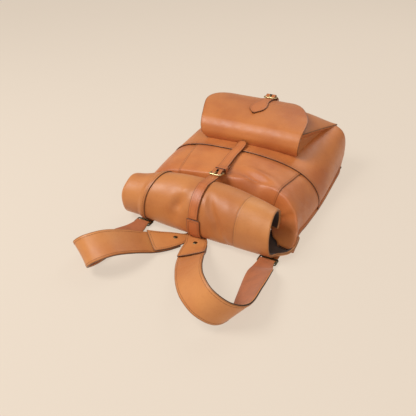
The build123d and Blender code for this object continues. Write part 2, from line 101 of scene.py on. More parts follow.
def smooth_line(points: Sequence[Sequence[float]], count: int) -> Array:
    """A smooth line through control points, evenly respaced to count points."""
    return even(smooth_rows(points, 24 * len(points)), count)


def table_at(table: Sequence[Sequence[float]], where: Array) -> Array:
    """Look values up in a table whose first column rises, with soft cubic steps between rows.

    Args:
        table: Rows of (key, value, value, ...).
        where: The keys to look up.

    Returns:
        The interpolated values, with a last axis as long as a row's values.
    """
    rows = np.asarray(table, float)
    keys, values = rows[:, 0], rows[:, 1:]
    slopes = np.gradient(values, keys, axis=0)
    where = np.clip(where, keys[0], keys[-1])
    index = np.clip(np.searchsorted(keys, where, side="right") - 1, 0, len(keys) - 2)
    width = keys[index + 1] - keys[index]
    t = ((where - keys[index]) / width)[..., None]
    width = width[..., None]
    return ((2 * t**3 - 3 * t**2 + 1) * values[index] + (t**3 - 2 * t**2 + t) * width * slopes[index]
            + (3 * t**2 - 2 * t**3) * values[index + 1] + (t**3 - t**2) * width * slopes[index + 1])


def grid_normals(grid: Array) -> Array:
    """Unit normals of a rows by columns grid of points."""
    normal = np.cross(np.gradient(grid, axis=0), np.gradient(grid, axis=1))
    length = np.linalg.norm(normal, axis=2, keepdims=True)
    return normal / np.maximum(length, 1e-9)


def ripple(points: Array, size: float, height: float) -> Array:
    """A soft, repeatable unevenness such as a worn panel has.

    Args:
        points: Points in millimetres, with a last axis of three.
        size: The rough length of a wave in millimetres.
        height: The highest rise in millimetres.

    Returns:
        One rise for each point.
    """
    x, y, z = points[..., 0] / size, points[..., 1] / size, points[..., 2] / size
    waves = (np.sin(1.9 * x + 1.3 * y + 0.7) + np.sin(1.1 * y - 2.3 * z + 2.1)
             + np.sin(2.7 * x - 1.7 * z + 4.0) + 0.6 * np.sin(3.9 * x + 3.1 * y + 1.1 * z))
    return height * waves / 3.6


def boxed(degrees: Array, fullness: Array | float) -> Array:
    """Unit (y, z) section of the roll: round, but fuller between 180 and 270 degrees."""
    turn = np.radians(np.minimum(degrees, 270.0))
    cosine, sine = np.cos(turn), np.sin(turn)
    power = np.where((degrees > 180.0), 2 / np.asarray(fullness), 1.0)
    return np.stack([np.sign(cosine) * np.abs(cosine) ** power, np.sign(sine) * np.abs(sine) ** power],
                    axis=-1)


def soft_step(value: Array, low: float, high: float) -> Array:
    """Rise smoothly from 0 at low to 1 at high."""
    t = np.clip((value - low) / (high - low), 0, 1)
    return t * t * (3 - 2 * t)


# ------------------------------------------------------------------ finishes
class Socket(Enum):
    """Kinds of socket on a shader node group."""

    NUMBER = "NodeSocketFloat"
    COLOUR = "NodeSocketColor"


class Nodes:
    """Short calls for putting shader nodes together."""

    def __init__(self, tree: bpy.types.NodeTree) -> None:
        """Work on one node tree."""
        self.tree = tree

    def add(self, kind: str, **values: object) -> bpy.types.Node:
        """Add a node, set its properties, and set or link its inputs.

        Args:
            kind: The node's type name without "ShaderNode".
            **values: Properties by name; an input is given as i0, i1 ... or by its name
                with underscores for spaces, as a plain value or as a socket to link.

        Returns:
            The new node.
        """
        node = self.tree.nodes.new("ShaderNode" + kind)
        for key, value in values.items():
            if key[0] == "i" and key[1:].isdigit():
                self.feed(node.inputs[int(key[1:])], value)
            elif hasattr(node, key):
                setattr(node, key, value)
            else:
                self.feed(node.inputs[key.replace("_", " ")], value)
        return node

    def feed(self, target: bpy.types.NodeSocket, value: object) -> None:
        """Link a socket into target, or set its plain value."""
        if isinstance(value, bpy.types.NodeSocket):
            self.tree.links.new(value, target)
        else:
            target.default_value = value

    def maths(self, operation: str, *values: object, clamp: bool = False) -> bpy.types.NodeSocket:
        """Join up to three numbers with a Math node and return its result."""
        node = self.add("Math", operation=operation, use_clamp=clamp)
        for socket, value in zip(node.inputs, values):
            self.feed(socket, value)
        return node.outputs[0]

    def ramp(self, value: object, low: float, high: float) -> bpy.types.NodeSocket:
        """A soft 0 to 1 step of value between low and high."""
        node = self.add("MapRange", interpolation_type="SMOOTHSTEP", i0=value, i1=low, i2=high)
        return node.outputs[0]

    def blend(self, factor: object, first: object, second: object,
              mode: str = "MIX") -> bpy.types.NodeSocket:
        """Mix two colours."""
        node = self.add("Mix", data_type="RGBA", blend_type=mode)
        for index, value in ((0, factor), (6, first), (7, second)):
            self.feed(node.inputs[index], value)
        return node.outputs[2]


def shader_group(name: str, inputs: dict[str, tuple[Socket, object]],
                 outputs: dict[str, Socket]) -> tuple[bpy.types.NodeTree, Nodes, dict, dict]:
    """Start a shader node group with named sockets.

    Args:
        name: The group's name.
        inputs: Each input's kind and its usual value.
        outputs: Each output's kind.

    Returns:
        The group, its node maker, its input sockets and its output sockets, by name.
    """
    tree = bpy.data.node_groups.new(name, "ShaderNodeTree")
    for key, (kind, value) in inputs.items():
        socket = tree.interface.new_socket(key, in_out="INPUT", socket_type=kind.value)
        socket.default_value = value
    for key, kind in outputs.items():
        tree.interface.new_socket(key, in_out="OUTPUT", socket_type=kind.value)
    nodes = Nodes(tree)
    start = tree.nodes.new("NodeGroupInput")
    end = tree.nodes.new("NodeGroupOutput")
    return tree, nodes, {k: start.outputs[k] for k in inputs}, {k: end.inputs[k] for k in outputs}


def make_tone_group() -> bpy.types.NodeTree:
    """Cloudy colour of dyed hide: two close tones, with small specks of the second."""
    tree, nodes, given, out = shader_group(
        "hide_tone",
        {"Light": (Socket.COLOUR, (0.5, 0.2, 0.06, 1)), "Deep": (Socket.COLOUR, (0.3, 0.1, 0.03, 1)),
         "Cloud": (Socket.NUMBER, 12.0)},
        {"Colour": Socket.COLOUR, "Cloudiness": Socket.NUMBER})
    place = nodes.add("TexCoord").outputs["Object"]
    cloud = nodes.add("TexNoise", Vector=place, Scale=given["Cloud"], Detail=3.0, Roughness=0.5)
    speck = nodes.add("TexNoise", Vector=place, Scale=240.0, Detail=2.0, Roughness=0.6)
    mask = nodes.ramp(cloud.outputs[0], 0.34, 0.70)
    fine = nodes.maths("MULTIPLY", nodes.ramp(speck.outputs[0], 0.45, 0.75), 0.22)
    both = nodes.maths("ADD", mask, fine, clamp=True)
    nodes.feed(out["Colour"], nodes.blend(both, given["Light"], given["Deep"]))
    nodes.feed(out["Cloudiness"], both)
    return tree


def make_grain_group() -> bpy.types.NodeTree:
    """Height and gloss of fine leather grain: small cells over soft unevenness."""
    tree, nodes, given, out = shader_group(
        "hide_grain", {"Cells": (Socket.NUMBER, 900.0), "Creases": (Socket.NUMBER, 0.4)},
        {"Height": Socket.NUMBER, "Mask": Socket.NUMBER})
    place = nodes.add("TexCoord").outputs["Object"]
    cells = nodes.add("TexVoronoi", feature="DISTANCE_TO_EDGE", Vector=place, Scale=given["Cells"])
    pore = nodes.ramp(cells.outputs["Distance"], 0.0, 0.12)
    soft = nodes.add("TexNoise", Vector=place, Scale=70.0, Detail=4.0, Roughness=0.55)
    low = nodes.maths("MULTIPLY", soft.outputs[0], given["Creases"])
    nodes.feed(out["Height"], nodes.maths("ADD", nodes.maths("MULTIPLY", pore, 0.25), low))
    nodes.feed(out["Mask"], nodes.ramp(soft.outputs[0], 0.35, 0.7))
    return tree


def make_margin_group() -> bpy.types.NodeTree:
    """What happens along a cut edge: a darker rim and a pressed crease line inside it."""
    tree, nodes, given, out = shader_group(
        "cut_margin", {"Line": (Socket.NUMBER, 0.0035), "Rim": (Socket.NUMBER, 0.0016)},
        {"Crease": Socket.NUMBER, "Darkening": Socket.NUMBER})
    distance = nodes.add("Attribute", attribute_name="margin").outputs["Fac"]
    away = nodes.maths("ABSOLUTE", nodes.maths("SUBTRACT", distance, given["Line"]))
    crease = nodes.maths("SUBTRACT", 1.0, nodes.ramp(away, 0.0001, 0.0007))
    rim = nodes.maths("SUBTRACT", 1.0, nodes.ramp(nodes.maths("DIVIDE", distance, given["Rim"]), 0.0, 1.0))
    nodes.feed(out["Crease"], crease)
    nodes.feed(out["Darkening"], rim)
    return tree


def make_patina_group() -> bpy.types.NodeTree:
    """Wear of antique brass: dark hollows, bright rubbed spots."""
    tree, nodes, given, out = shader_group(
        "brass_patina", {"Bright": (Socket.COLOUR, (0.6, 0.5, 0.3, 1)),
                         "Dark": (Socket.COLOUR, (0.1, 0.08, 0.04, 1))},
        {"Colour": Socket.COLOUR, "Roughness": Socket.NUMBER, "Height": Socket.NUMBER})
    place = nodes.add("TexCoord").outputs["Object"]
    spots = nodes.add("TexNoise", Vector=place, Scale=420.0, Detail=4.0, Roughness=0.6)
    worn = nodes.add("NewGeometry").outputs["Pointiness"]
    mask = nodes.maths("ADD", nodes.ramp(spots.outputs[0], 0.35, 0.62), nodes.ramp(worn, 0.5, 0.56),
                       clamp=True)
    nodes.feed(out["Colour"], nodes.blend(mask, given["Dark"], given["Bright"]))
    nodes.feed(out["Roughness"], nodes.maths("SUBTRACT", 0.52, nodes.maths("MULTIPLY", mask, 0.22)))
    nodes.feed(out["Height"], spots.outputs[0])
    return tree


GROUPS: dict[str, bpy.types.NodeTree] = {}


def new_material(name: str) -> tuple[bpy.types.Material, Nodes, bpy.types.Node]:
    """An empty material with its Principled shader."""
    material = bpy.data.materials.new(name)
    material.use_nodes = True
    nodes = Nodes(material.node_tree)
    shader = material.node_tree.nodes["Principled BSDF"]
    return material, nodes, shader


@dataclass(frozen=True)
class Leather:
    """The grain side of one dyed hide."""

    name: str
    light: tuple[float, float, float]
    deep: tuple[float, float, float]
    roughness: float = 0.46
    gloss: float = 0.06
    creases: float = 0.4
    margin_line: float = 0.0035
    crease_depth: float = 0.5

    def material(self) -> bpy.types.Material:
        """Build the hide's material."""
        material, nodes, shader = new_material(self.name)
        tone = nodes.add("Group", node_tree=GROUPS["tone"], Light=(*self.light, 1), Deep=(*self.deep, 1))
        grain = nodes.add("Group", node_tree=GROUPS["grain"], Creases=self.creases)
        margin = nodes.add("Group", node_tree=GROUPS["margin"], Line=self.margin_line)
        dark = tuple(0.25 * c for c in self.deep) + (1,)
        shade = nodes.maths("MULTIPLY", margin.outputs["Darkening"], 0.55)
        pressed = nodes.maths("MULTIPLY", margin.outputs["Crease"], self.crease_depth)
        colour = nodes.blend(shade, tone.outputs["Colour"], dark)
        colour = nodes.blend(pressed, colour, tuple(0.45 * c for c in self.deep) + (1,))
        nodes.feed(shader.inputs["Base Color"], colour)
        varied = nodes.maths("MULTIPLY_ADD", grain.outputs["Mask"], 0.12, self.roughness - 0.06)
        nodes.feed(shader.inputs["Roughness"], varied)
        height = nodes.maths("SUBTRACT", grain.outputs["Height"], nodes.maths("MULTIPLY", pressed, 1.2))
        bump = nodes.add("Bump", Strength=0.22, Distance=0.0006, Height=height)
        nodes.feed(shader.inputs["Normal"], bump.outputs[0])
        shader.inputs["Coat Weight"].default_value = self.gloss
        shader.inputs["Coat Roughness"].default_value = 0.42
        shader.inputs["Sheen Weight"].default_value = 0.08
        shader.inputs["Sheen Roughness"].default_value = 0.4
        return material


@dataclass(frozen=True)
class FleshSide:
    """The rough inner side of a hide, in a colour darkened as painted shade."""

    name: str
    colour: tuple[float, float, float]

    def material(self) -> bpy.types.Material:
        """Build the suede material."""
        material, nodes, shader = new_material(self.name)
        darker = tuple(0.84 * c for c in self.colour) + (1,)
        tone = nodes.add("Group", node_tree=GROUPS["tone"], Light=(*self.colour, 1), Deep=darker, Cloud=60.0)
        place = nodes.add("TexCoord").outputs["Object"]
        nap = nodes.add("TexNoise", Vector=place, Scale=1600.0, Detail=3.0)
        bump = nodes.add("Bump", Strength=0.4, Distance=0.0004, Height=nap.outputs[0])
        nodes.feed(shader.inputs["Base Color"], tone.outputs["Colour"])
        nodes.feed(shader.inputs["Normal"], bump.outputs[0])
        shader.inputs["Roughness"].default_value = 0.9
        shader.inputs["Sheen Weight"].default_value = 0.25
        return material


@dataclass(frozen=True)
class EdgePaint:
    """Paint rolled on a cut edge."""

    name: str
    colour: tuple[float, float, float] = (0.018, 0.011, 0.008)

    def material(self) -> bpy.types.Material:
        """Build the edge paint material."""
        material, nodes, shader = new_material(self.name)
        place = nodes.add("TexCoord").outputs["Object"]
        wear = nodes.add("TexNoise", Vector=place, Scale=300.0, Detail=3.0)
        rubbed = nodes.maths("MULTIPLY", nodes.ramp(wear.outputs[0], 0.55, 0.8), 0.35)
        nodes.feed(shader.inputs["Base Color"], nodes.blend(rubbed, (*self.colour, 1),
                                                            (0.09, 0.035, 0.014, 1)))
        bump = nodes.add("Bump", Strength=0.15, Distance=0.0004, Height=wear.outputs[0])
        nodes.feed(shader.inputs["Normal"], bump.outputs[0])
        shader.inputs["Roughness"].default_value = 0.38
        return material


@dataclass(frozen=True)
class Thread:
    """Waxed sewing thread."""

    name: str
    colour: tuple[float, float, float]

    def material(self) -> bpy.types.Material:
        """Build the thread material."""
        material, nodes, shader = new_material(self.name)
        place = nodes.add("TexCoord").outputs["Object"]
        twist = nodes.add("TexWave", Vector=place, Scale=900.0, Distortion=1.5)
        darker = tuple(0.55 * c for c in self.colour) + (1,)
        nodes.feed(shader.inputs["Base Color"], nodes.blend(twist.outputs["Fac"], (*self.colour, 1), darker))
        bump = nodes.add("Bump", Strength=0.4, Distance=0.0002, Height=twist.outputs["Fac"])
        nodes.feed(shader.inputs["Normal"], bump.outputs[0])
        shader.inputs["Roughness"].default_value = 0.55
        return material


@dataclass(frozen=True)
class Metal:
    """Antique metal with rubbed edges."""

    name: str
    bright: tuple[float, float, float]
    dark: tuple[float, float, float]

    def material(self) -> bpy.types.Material:
        """Build the metal material."""
        material, nodes, shader = new_material(self.name)
        patina = nodes.add("Group", node_tree=GROUPS["patina"], Bright=(*self.bright, 1),
                           Dark=(*self.dark, 1))
        nodes.feed(shader.inputs["Base Color"], patina.outputs["Colour"])
        nodes.feed(shader.inputs["Roughness"], patina.outputs["Roughness"])
        bump = nodes.add("Bump", Strength=0.15, Distance=0.0002, Height=patina.outputs["Height"])
        nodes.feed(shader.inputs["Normal"], bump.outputs[0])
        shader.inputs["Metallic"].default_value = 1.0
        return material


TAN_LIGHT = (0.60, 0.205, 0.055)
TAN_DEEP = (0.47, 0.135, 0.034)


class Finish(Enum):
    """Every finish on the bag."""

    PANEL = Leather("panel_hide", TAN_LIGHT, TAN_DEEP, crease_depth=0.25)
    # ROLL and ROLL_END are one roll hide drawn as a shaded and a lit copy: ROLL toned down as painted shade,
    # ROLL_END lightened as a painted highlight on the roll's right end.
    ROLL = Leather("roll_shaded_hide", (0.56, 0.215, 0.060), (0.46, 0.155, 0.041), crease_depth=0.25)
    ROLL_END = Leather("roll_end_lit_hide", (0.60, 0.250, 0.075), (0.50, 0.185, 0.052), crease_depth=0.25)
    POCKET = Leather("pocket_hide", (0.55, 0.185, 0.046), (0.44, 0.125, 0.030), crease_depth=0.2)
    STRAP = Leather("strap_hide", (0.60, 0.24, 0.068), (0.50, 0.17, 0.045), roughness=0.5, creases=0.3)
    FASTENING = Leather("fastening_hide", (0.57, 0.18, 0.046), (0.45, 0.125, 0.032), roughness=0.45)
    # SUEDE is near-black: painted shade of the bag's dark inside, laid on every sheet's inner face, not the
    # hide's own colour.
    SUEDE = FleshSide("flesh_side_painted_shade", (0.055, 0.022, 0.010))
    # STRAP_BACK is the strap's own leather drawn darker: painted shade on undersides that face away from the
    # light.
    STRAP_BACK = FleshSide("strap_underside_shaded", (0.40, 0.115, 0.032))
    PAINT = EdgePaint("edge_paint")
    THREAD = Thread("sewing_thread", (0.42, 0.15, 0.045))
    BRASS = Metal("antique_brass_metal", (0.62, 0.52, 0.27), (0.10, 0.075, 0.03))
    BLACKED = Metal("blackened_metal", (0.11, 0.10, 0.06), (0.015, 0.012, 0.008))


class Wardrobe:
    """Makes each finish's material once."""

    made: dict[Finish, bpy.types.Material] = {}

    @classmethod
    def material(cls, finish: Finish) -> bpy.types.Material:
        """The one material of a finish."""
        if finish not in cls.made:
            cls.made[finish] = finish.value.material()
        return cls.made[finish]


# ------------------------------------------------------------------ mesh making
class Side(Enum):
    """The four sides of a sheet's grid."""

    FIRST_ROW = 0
    LAST_ROW = 1
    FIRST_COLUMN = 2
    LAST_COLUMN = 3


ALL_SIDES = frozenset(Side)


@dataclass
class Placing:
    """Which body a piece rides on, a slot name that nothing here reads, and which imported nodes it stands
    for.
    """

    body: str
    slot: str
    replaces: tuple[str, ...] = ()
    bend: tuple[str, Point, Point] | None = None     # other body, then start and end of the bend


def add_piece(name: str, vertices: Array, faces: Sequence[Sequence[int]], shades: Sequence[int],
              finishes: Sequence[Finish], placing: Placing, margin: Array | None = None) -> bpy.types.Object:
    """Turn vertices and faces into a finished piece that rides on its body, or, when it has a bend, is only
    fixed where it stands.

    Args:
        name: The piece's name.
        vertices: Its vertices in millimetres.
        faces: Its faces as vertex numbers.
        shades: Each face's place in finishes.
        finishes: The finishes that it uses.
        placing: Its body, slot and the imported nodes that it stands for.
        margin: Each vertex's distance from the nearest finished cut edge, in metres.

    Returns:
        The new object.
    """
    mesh = bpy.data.meshes.new(name)
    mesh.from_pydata((np.asarray(vertices) * MM).tolist(), [], [list(f) for f in faces])
    for finish in finishes:
        mesh.materials.append(Wardrobe.material(finish))
    mesh.polygons.foreach_set("material_index", np.asarray(shades, np.int32))
    mesh.polygons.foreach_set("use_smooth", np.ones(len(faces), bool))
    if margin is not None:
        attribute = mesh.attributes.new("margin", "FLOAT", "POINT")
        attribute.data.foreach_set("value", np.asarray(margin, np.float32))
    mesh.validate()
    mesh.update()
    piece = bpy.data.objects.new(name, mesh)
    bpy.context.scene.collection.objects.link(piece)
    if placing.bend:
        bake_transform(piece)
    else:
        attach(piece, placing.body)
    if placing.replaces:
        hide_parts(*placing.replaces)
    log.info("%s: %d faces on %s", name, len(faces), placing.body)
    return piece


@dataclass
class Sheet:
    """A cut piece of leather, drawn as the grid of its outer face.

    The first axis of grid is along the piece and the second across it.  The hide's thickness
    goes away from the outward side.  A cut leaves out the faces between two rows and two columns.
    """

    name: str
    grid: Array
    thickness: float
    placing: Placing
    finish: Finish = Finish.PANEL
    # inner faces default to SUEDE, the near-black painted shade of the bag's inside
    inner: Finish = Finish.SUEDE
    painted: frozenset[Side] = frozenset()
    flip: bool = False
    margins: frozenset[Side] | None = None
    edge_round: float = 0.35
    away_from: Point | None = None
    cut: tuple[int, int, int, int] | None = None

    def __post_init__(self) -> None:
        """Turn the outer face away from a point inside the bag, if one is given."""
        if self.away_from is not None:
            facing = np.sum(grid_normals(self.grid) * (self.grid - np.array(self.away_from)))
            self.flip = bool(facing < 0)

    def normals(self) -> Array:
        """Outward normals of the outer face."""
        return grid_normals(self.grid) * (-1 if self.flip else 1)

    def side_distance(self, sides: frozenset[Side]) -> Array:
        """Each grid point's distance in millimetres from the nearest of some sides."""
        rows, columns = self.grid.shape[:2]
        along = np.zeros((rows, columns))
        along[1:] = np.cumsum(np.linalg.norm(np.diff(self.grid, axis=0), axis=2), axis=0)
        across = np.zeros((rows, columns))
        across[:, 1:] = np.cumsum(np.linalg.norm(np.diff(self.grid, axis=1), axis=2), axis=1)
        distance = {Side.FIRST_ROW: along, Side.LAST_ROW: along[-1:] - along,
                    Side.FIRST_COLUMN: across, Side.LAST_COLUMN: across[:, -1:] - across}
        best = np.full((rows, columns), 1000.0)
        for side in sides:
            best = np.minimum(best, distance[side])
        return best

    def build(self) -> bpy.types.Object:
        """Make the sheet with both faces and a rounded edge all round."""
        rows, columns = self.grid.shape[:2]
        outer = self.grid.reshape(-1, 3)
        normal = self.normals().reshape(-1, 3)
        inner = outer - normal * self.thickness
        count = rows * columns
        index = np.arange(count).reshape(rows, columns)
        quads = np.stack([index[:-1, :-1], index[:-1, 1:], index[1:, 1:], index[1:, :-1]], axis=-1)
        keep = np.ones(quads.shape[:2], bool)
        if self.cut:
            top, bottom, left, right = self.cut
            keep[top:bottom, left:right] = False
        quads = quads[keep]
        upward, downward = (quads, quads[:, ::-1]) if self.flip else (quads[:, ::-1], quads)
        faces, shades = upward.tolist(), [0] * len(quads)
        faces += (downward + count).tolist()
        shades += [1] * len(quads)
        runs = (
            (Side.FIRST_ROW, index[0, :]), (Side.LAST_COLUMN, index[:, -1]),
            (Side.LAST_ROW, index[-1, ::-1]), (Side.FIRST_COLUMN, index[::-1, 0]))
        ring = np.concatenate([run[:-1] for _, run in runs])
        sides = [side for side, run in runs for _ in run[:-1]]
        inside = {Side.FIRST_ROW: columns, Side.LAST_ROW: -columns, Side.FIRST_COLUMN: 1,
                  Side.LAST_COLUMN: -1}
        outward = outer[ring] - outer[ring + np.array([inside[s] for s in sides])]
        outward -= normal[ring] * np.sum(outward * normal[ring], axis=1, keepdims=True)
        outward /= np.maximum(np.linalg.norm(outward, axis=1, keepdims=True), 1e-9)
        swell = outward * self.thickness * self.edge_round
        upper = outer[ring] + swell * 0.8 - normal[ring] * self.thickness * 0.22
        lower = outer[ring] + swell * 0.8 - normal[ring] * self.thickness * 0.78
        middle = outer[ring] + swell - normal[ring] * self.thickness * 0.5
        size = len(ring)
        loops = [ring, *(2 * count + k * size + np.arange(size) for k in range(3)), ring + count]
        for step, (first, second) in enumerate(zip(loops, loops[1:])):
            for k in range(size):
                n = (k + 1) % size
                face = [first[k], first[n], second[n], second[k]]
                faces.append(face[::-1] if self.flip else face)
                shades.append(2 if sides[k] in self.painted and step in (1, 2) else 0)
        if self.cut:
            block = index[top:bottom + 1, left:right + 1]
            rim = np.concatenate([block[0, :-1], block[:-1, -1], block[-1, :0:-1], block[:0:-1, 0]])
            for first, second in zip(rim, np.roll(rim, -1)):
                face = [second, first, first + count, second + count]
                faces.append(face[::-1] if self.flip else face)
                shades.append(2)
        edges = self.painted if self.margins is None else self.margins
        margin = self.side_distance(edges).reshape(-1) * MM
        margin = np.concatenate([margin, np.full(count, 1.0), np.zeros(3 * size)])
        vertices = np.concatenate([outer, inner, upper, middle, lower])
        return add_piece(self.name, vertices, faces, shades, (self.finish, self.inner, Finish.PAINT),
                         self.placing, margin)

    def inset_line(self, side: Side, distance: float) -> tuple[Array, Array]:
        """The line that runs inside one side at a distance from it.

        Args:
            side: The side to follow.
            distance: How far inside, in millimetres.

        Returns:
            The line's points on the outer face and the normals there.
        """
        grid, normals = self.grid, self.normals()
        if side in (Side.FIRST_ROW, Side.LAST_ROW):
            grid, normals = grid.transpose(1, 0, 2), normals.transpose(1, 0, 2)
        if side in (Side.LAST_ROW, Side.LAST_COLUMN):
            grid, normals = grid[:, ::-1], normals[:, ::-1]
        points, ups = [], []
        for line, up in zip(grid, normals):
            length = np.concatenate([[0], np.cumsum(np.linalg.norm(np.diff(line, axis=0), axis=1))])
            if length[-1] < 2.2 * distance:
                continue
            points.append([np.interp(distance, length, line[:, k]) for k in range(3)])
            ups.append([np.interp(distance, length, up[:, k]) for k in range(3)])
        return np.array(points), np.array(ups)

    def stitch(self, sides: Sequence[Side], distance: float = 3.5, pitch: float = 4.0,
               trim: float = 3.0) -> bpy.types.Object:
        """Sew a row of stitches inside some sides and return the thread."""
        seams = [self.inset_line(side, distance) for side in sides]
        return sew(self.name + "_stitches", seams, Placing(self.placing.body, self.placing.slot), pitch, trim)


def sew(name: str, seams: Sequence[tuple[Array, Array]], placing: Placing, pitch: float,
        trim: float) -> bpy.types.Object:
    """Lay short slanted stitches along lines.

    Args:
        name: The thread piece's name.
        seams: Each seam's points and normals.
        placing: Where the thread rides.
        pitch: The distance from stitch to stitch in millimetres.
        trim: How much to leave bare at both ends.

    Returns:
        One mesh with every stitch.
    """
    vertices: list[Array] = []
    faces: list[list[int]] = []
    around = np.linspace(0, 2 * math.pi, 6, endpoint=False)
    profile = ((-0.40, 0.12), (-0.26, 0.34), (0.0, 0.42), (0.26, 0.34), (0.40, 0.12))
    for points, ups in seams:
        if len(points) < 2:
            continue
        length = np.concatenate([[0], np.cumsum(np.linalg.norm(np.diff(points, axis=0), axis=1))])
        for middle in np.arange(trim + pitch / 2, length[-1] - trim, pitch):
            def at(where: float, source: Array) -> Array:
                """The source's value at a length along the seam."""
                return np.array([np.interp(where, length, source[:, k]) for k in range(3)])

            up = at(middle, ups)
            up /= np.linalg.norm(up)
            along = at(middle + 1, points) - at(middle - 1, points)
            along -= up * along.dot(up)
            along /= np.linalg.norm(along)
            across = np.cross(up, along)
            lean = along + 0.12 * across
            base = sum(len(v) for v in vertices)
            for step, radius in profile:
                centre = at(middle,
                            points) + lean * step * pitch * 1.05 + up * (0.10 - 0.5 * (step / 0.4)**2 * 0.5)
                vertices.append(centre + radius * (np.outer(np.cos(around),
                                                            across) + np.outer(np.sin(around), up)))
            for row in range(4):
                for k in range(6):
                    n = (k + 1) % 6
                    a = base + row * 6
                    faces.append([a + k, a + n, a + 6 + n, a + 6 + k])
            faces.append(list(range(base + 5, base - 1, -1)))
            faces.append(list(range(base + 24, base + 30)))
    return add_piece(name, np.concatenate(vertices), faces, [0] * len(faces), (Finish.THREAD,), placing)


def strap_grid(stations: Sequence[tuple[Point, Point, float]], count: int, columns: int = 9,
               crown: float = 0.4) -> Array:
    """The outer face of a strap that bends and twists through stations.

    Args:
        stations: Centre, direction across and width at each station.
        count: Rows along the strap.
        columns: Points across it.
        crown: How much its middle stands above its edges, in millimetres.

    Returns:
        The grid of points, rows along and columns across.
    """
    rows = smooth_rows([(*centre, *across, width) for centre, across, width in stations], count)
    centre, across, half = rows[:, :3], rows[:, 3:6], rows[:, 6:] / 2
    along = np.gradient(centre, axis=0)
    along /= np.linalg.norm(along, axis=1, keepdims=True)
    across = across - along * np.sum(across * along, axis=1, keepdims=True)
    across /= np.linalg.norm(across, axis=1, keepdims=True)
    up = np.cross(along, across)
    spread = np.linspace(-1, 1, columns)
    rise = crown * (1 - spread**2)
    return (centre[:, None] + across[:, None] * (half[:, None] * spread[None, :, None])
            + up[:, None] * rise[None, :, None])


def tube(name: str, path: Array, radii: Array | float, finish: Finish, placing: Placing, closed: bool = False,
         sides: int = 14, flat: float = 1.0, flat_axis: Point = (0, 0, 1)) -> bpy.types.Object:
    """A rod bent along a path.

    Args:
        name: The piece's name.
        path: The rod's centre points.
        radii: Its radius, or one radius per point.
        finish: Its finish.
        placing: Where it rides.
        closed: Whether its ends meet.
        sides: Facets round the rod.
        flat: Its thickness along flat_axis as a share of its width.
        flat_axis: The direction in which it is flattened.

    Returns:
        The rod.
    """
    vertices, faces = tube_mesh(path, radii, closed, sides, flat, flat_axis)
    return add_piece(name, vertices, faces, [0] * len(faces), (finish,), placing)


def tube_mesh(path: Array, radii: Array | float, closed: bool = False, sides: int = 14, flat: float = 1.0,
              flat_axis: Point = (0, 0, 1)) -> tuple[Array, list[list[int]]]:
    """The vertices and faces of a rod bent along a path; see tube."""
    count = len(path)
    radius = np.broadcast_to(np.asarray(radii, float), (count,))
    if closed:
        along = np.roll(path, -1, axis=0) - np.roll(path, 1, axis=0)
    else:
        along = np.gradient(path, axis=0)
    along /= np.maximum(np.linalg.norm(along, axis=1, keepdims=True), 1e-9)
    up = np.array(flat_axis, float)[None] - along * (along @ np.array(flat_axis, float))[:, None]
    weak = np.linalg.norm(up, axis=1) < 0.2
    up[weak] = np.cross(along[weak], (1.0, 0.0, 0.0))
    up /= np.linalg.norm(up, axis=1, keepdims=True)
    across = np.cross(along, up)
    around = np.linspace(0, 2 * math.pi, sides, endpoint=False)
    ring = (np.cos(around)[None, :, None] * across[:, None] + flat * np.sin(around)[None, :, None] * up[:,
                                                                                                        None])
    vertices = (path[:, None] + ring * radius[:, None, None]).reshape(-1, 3)
    faces = []
    for row in range(count if closed else count - 1):
        following = (row + 1) % count
        for k in range(sides):
            n = (k + 1) % sides
            faces.append([row * sides + k, following * sides + k, following * sides + n, row * sides + n])
    if not closed:
        faces.append(list(range(sides)))
        faces.append(list(range((count - 1) * sides, count * sides))[::-1])
    return vertices, faces


def turned_part(profile: Sequence[tuple[float, float]], place: Callable[[Array], Array],
                sides: int = 28) -> tuple[Array, list[list[int]]]:
    """A round part turned about its own z axis.

    Args:
        profile: Radius and height pairs, from the bottom centre to the top centre.
        place: Moves points from the part's own axes into the bag's.
        sides: Facets round the part.

    Returns:
        Its vertices and faces.
    """
    around = np.linspace(0, 2 * math.pi, sides, endpoint=False)
    rings = [np.stack([r * np.cos(around), r * np.sin(around), np.full(sides, z)], axis=1) for r,
             z in profile]
    vertices = place(np.concatenate(rings))
    faces = []
    for row in range(len(profile) - 1):
        for k in range(sides):
            n = (k + 1) % sides
            faces.append([row * sides + k, row * sides + n, (row + 1) * sides + n, (row + 1) * sides + k])
    faces.append(list(range(sides))[::-1])
    faces.append(list(range((len(profile) - 1) * sides, len(profile) * sides)))
    return vertices, faces


# ------------------------------------------------------------------ the bag's body
BAG = "bag"
INSIDE_BAG: Point = (0.0, 40.0, 40.0)
LAP_Y = -12.0
HIDE = 2.5


@dataclass
class Dent:
    """A soft hollow or, with a negative depth, a soft ridge pressed into a panel."""

    middle: tuple[float, float]
    reach: tuple[float, float]
    depth: float
    turn: float = 0.0

    def depth_at(self, first: Array, second: Array) -> Array:
        """How deep the dent is at each pair of places."""
        angle = math.radians(self.turn)
        u, v = first - self.middle[0], second - self.middle[1]
        along = (u * math.cos(angle) + v * math.sin(angle)) / self.reach[0]
        across = (v * math.cos(angle) - u * math.sin(angle)) / self.reach[1]
        return self.depth * np.exp(-along**2 - across**2)


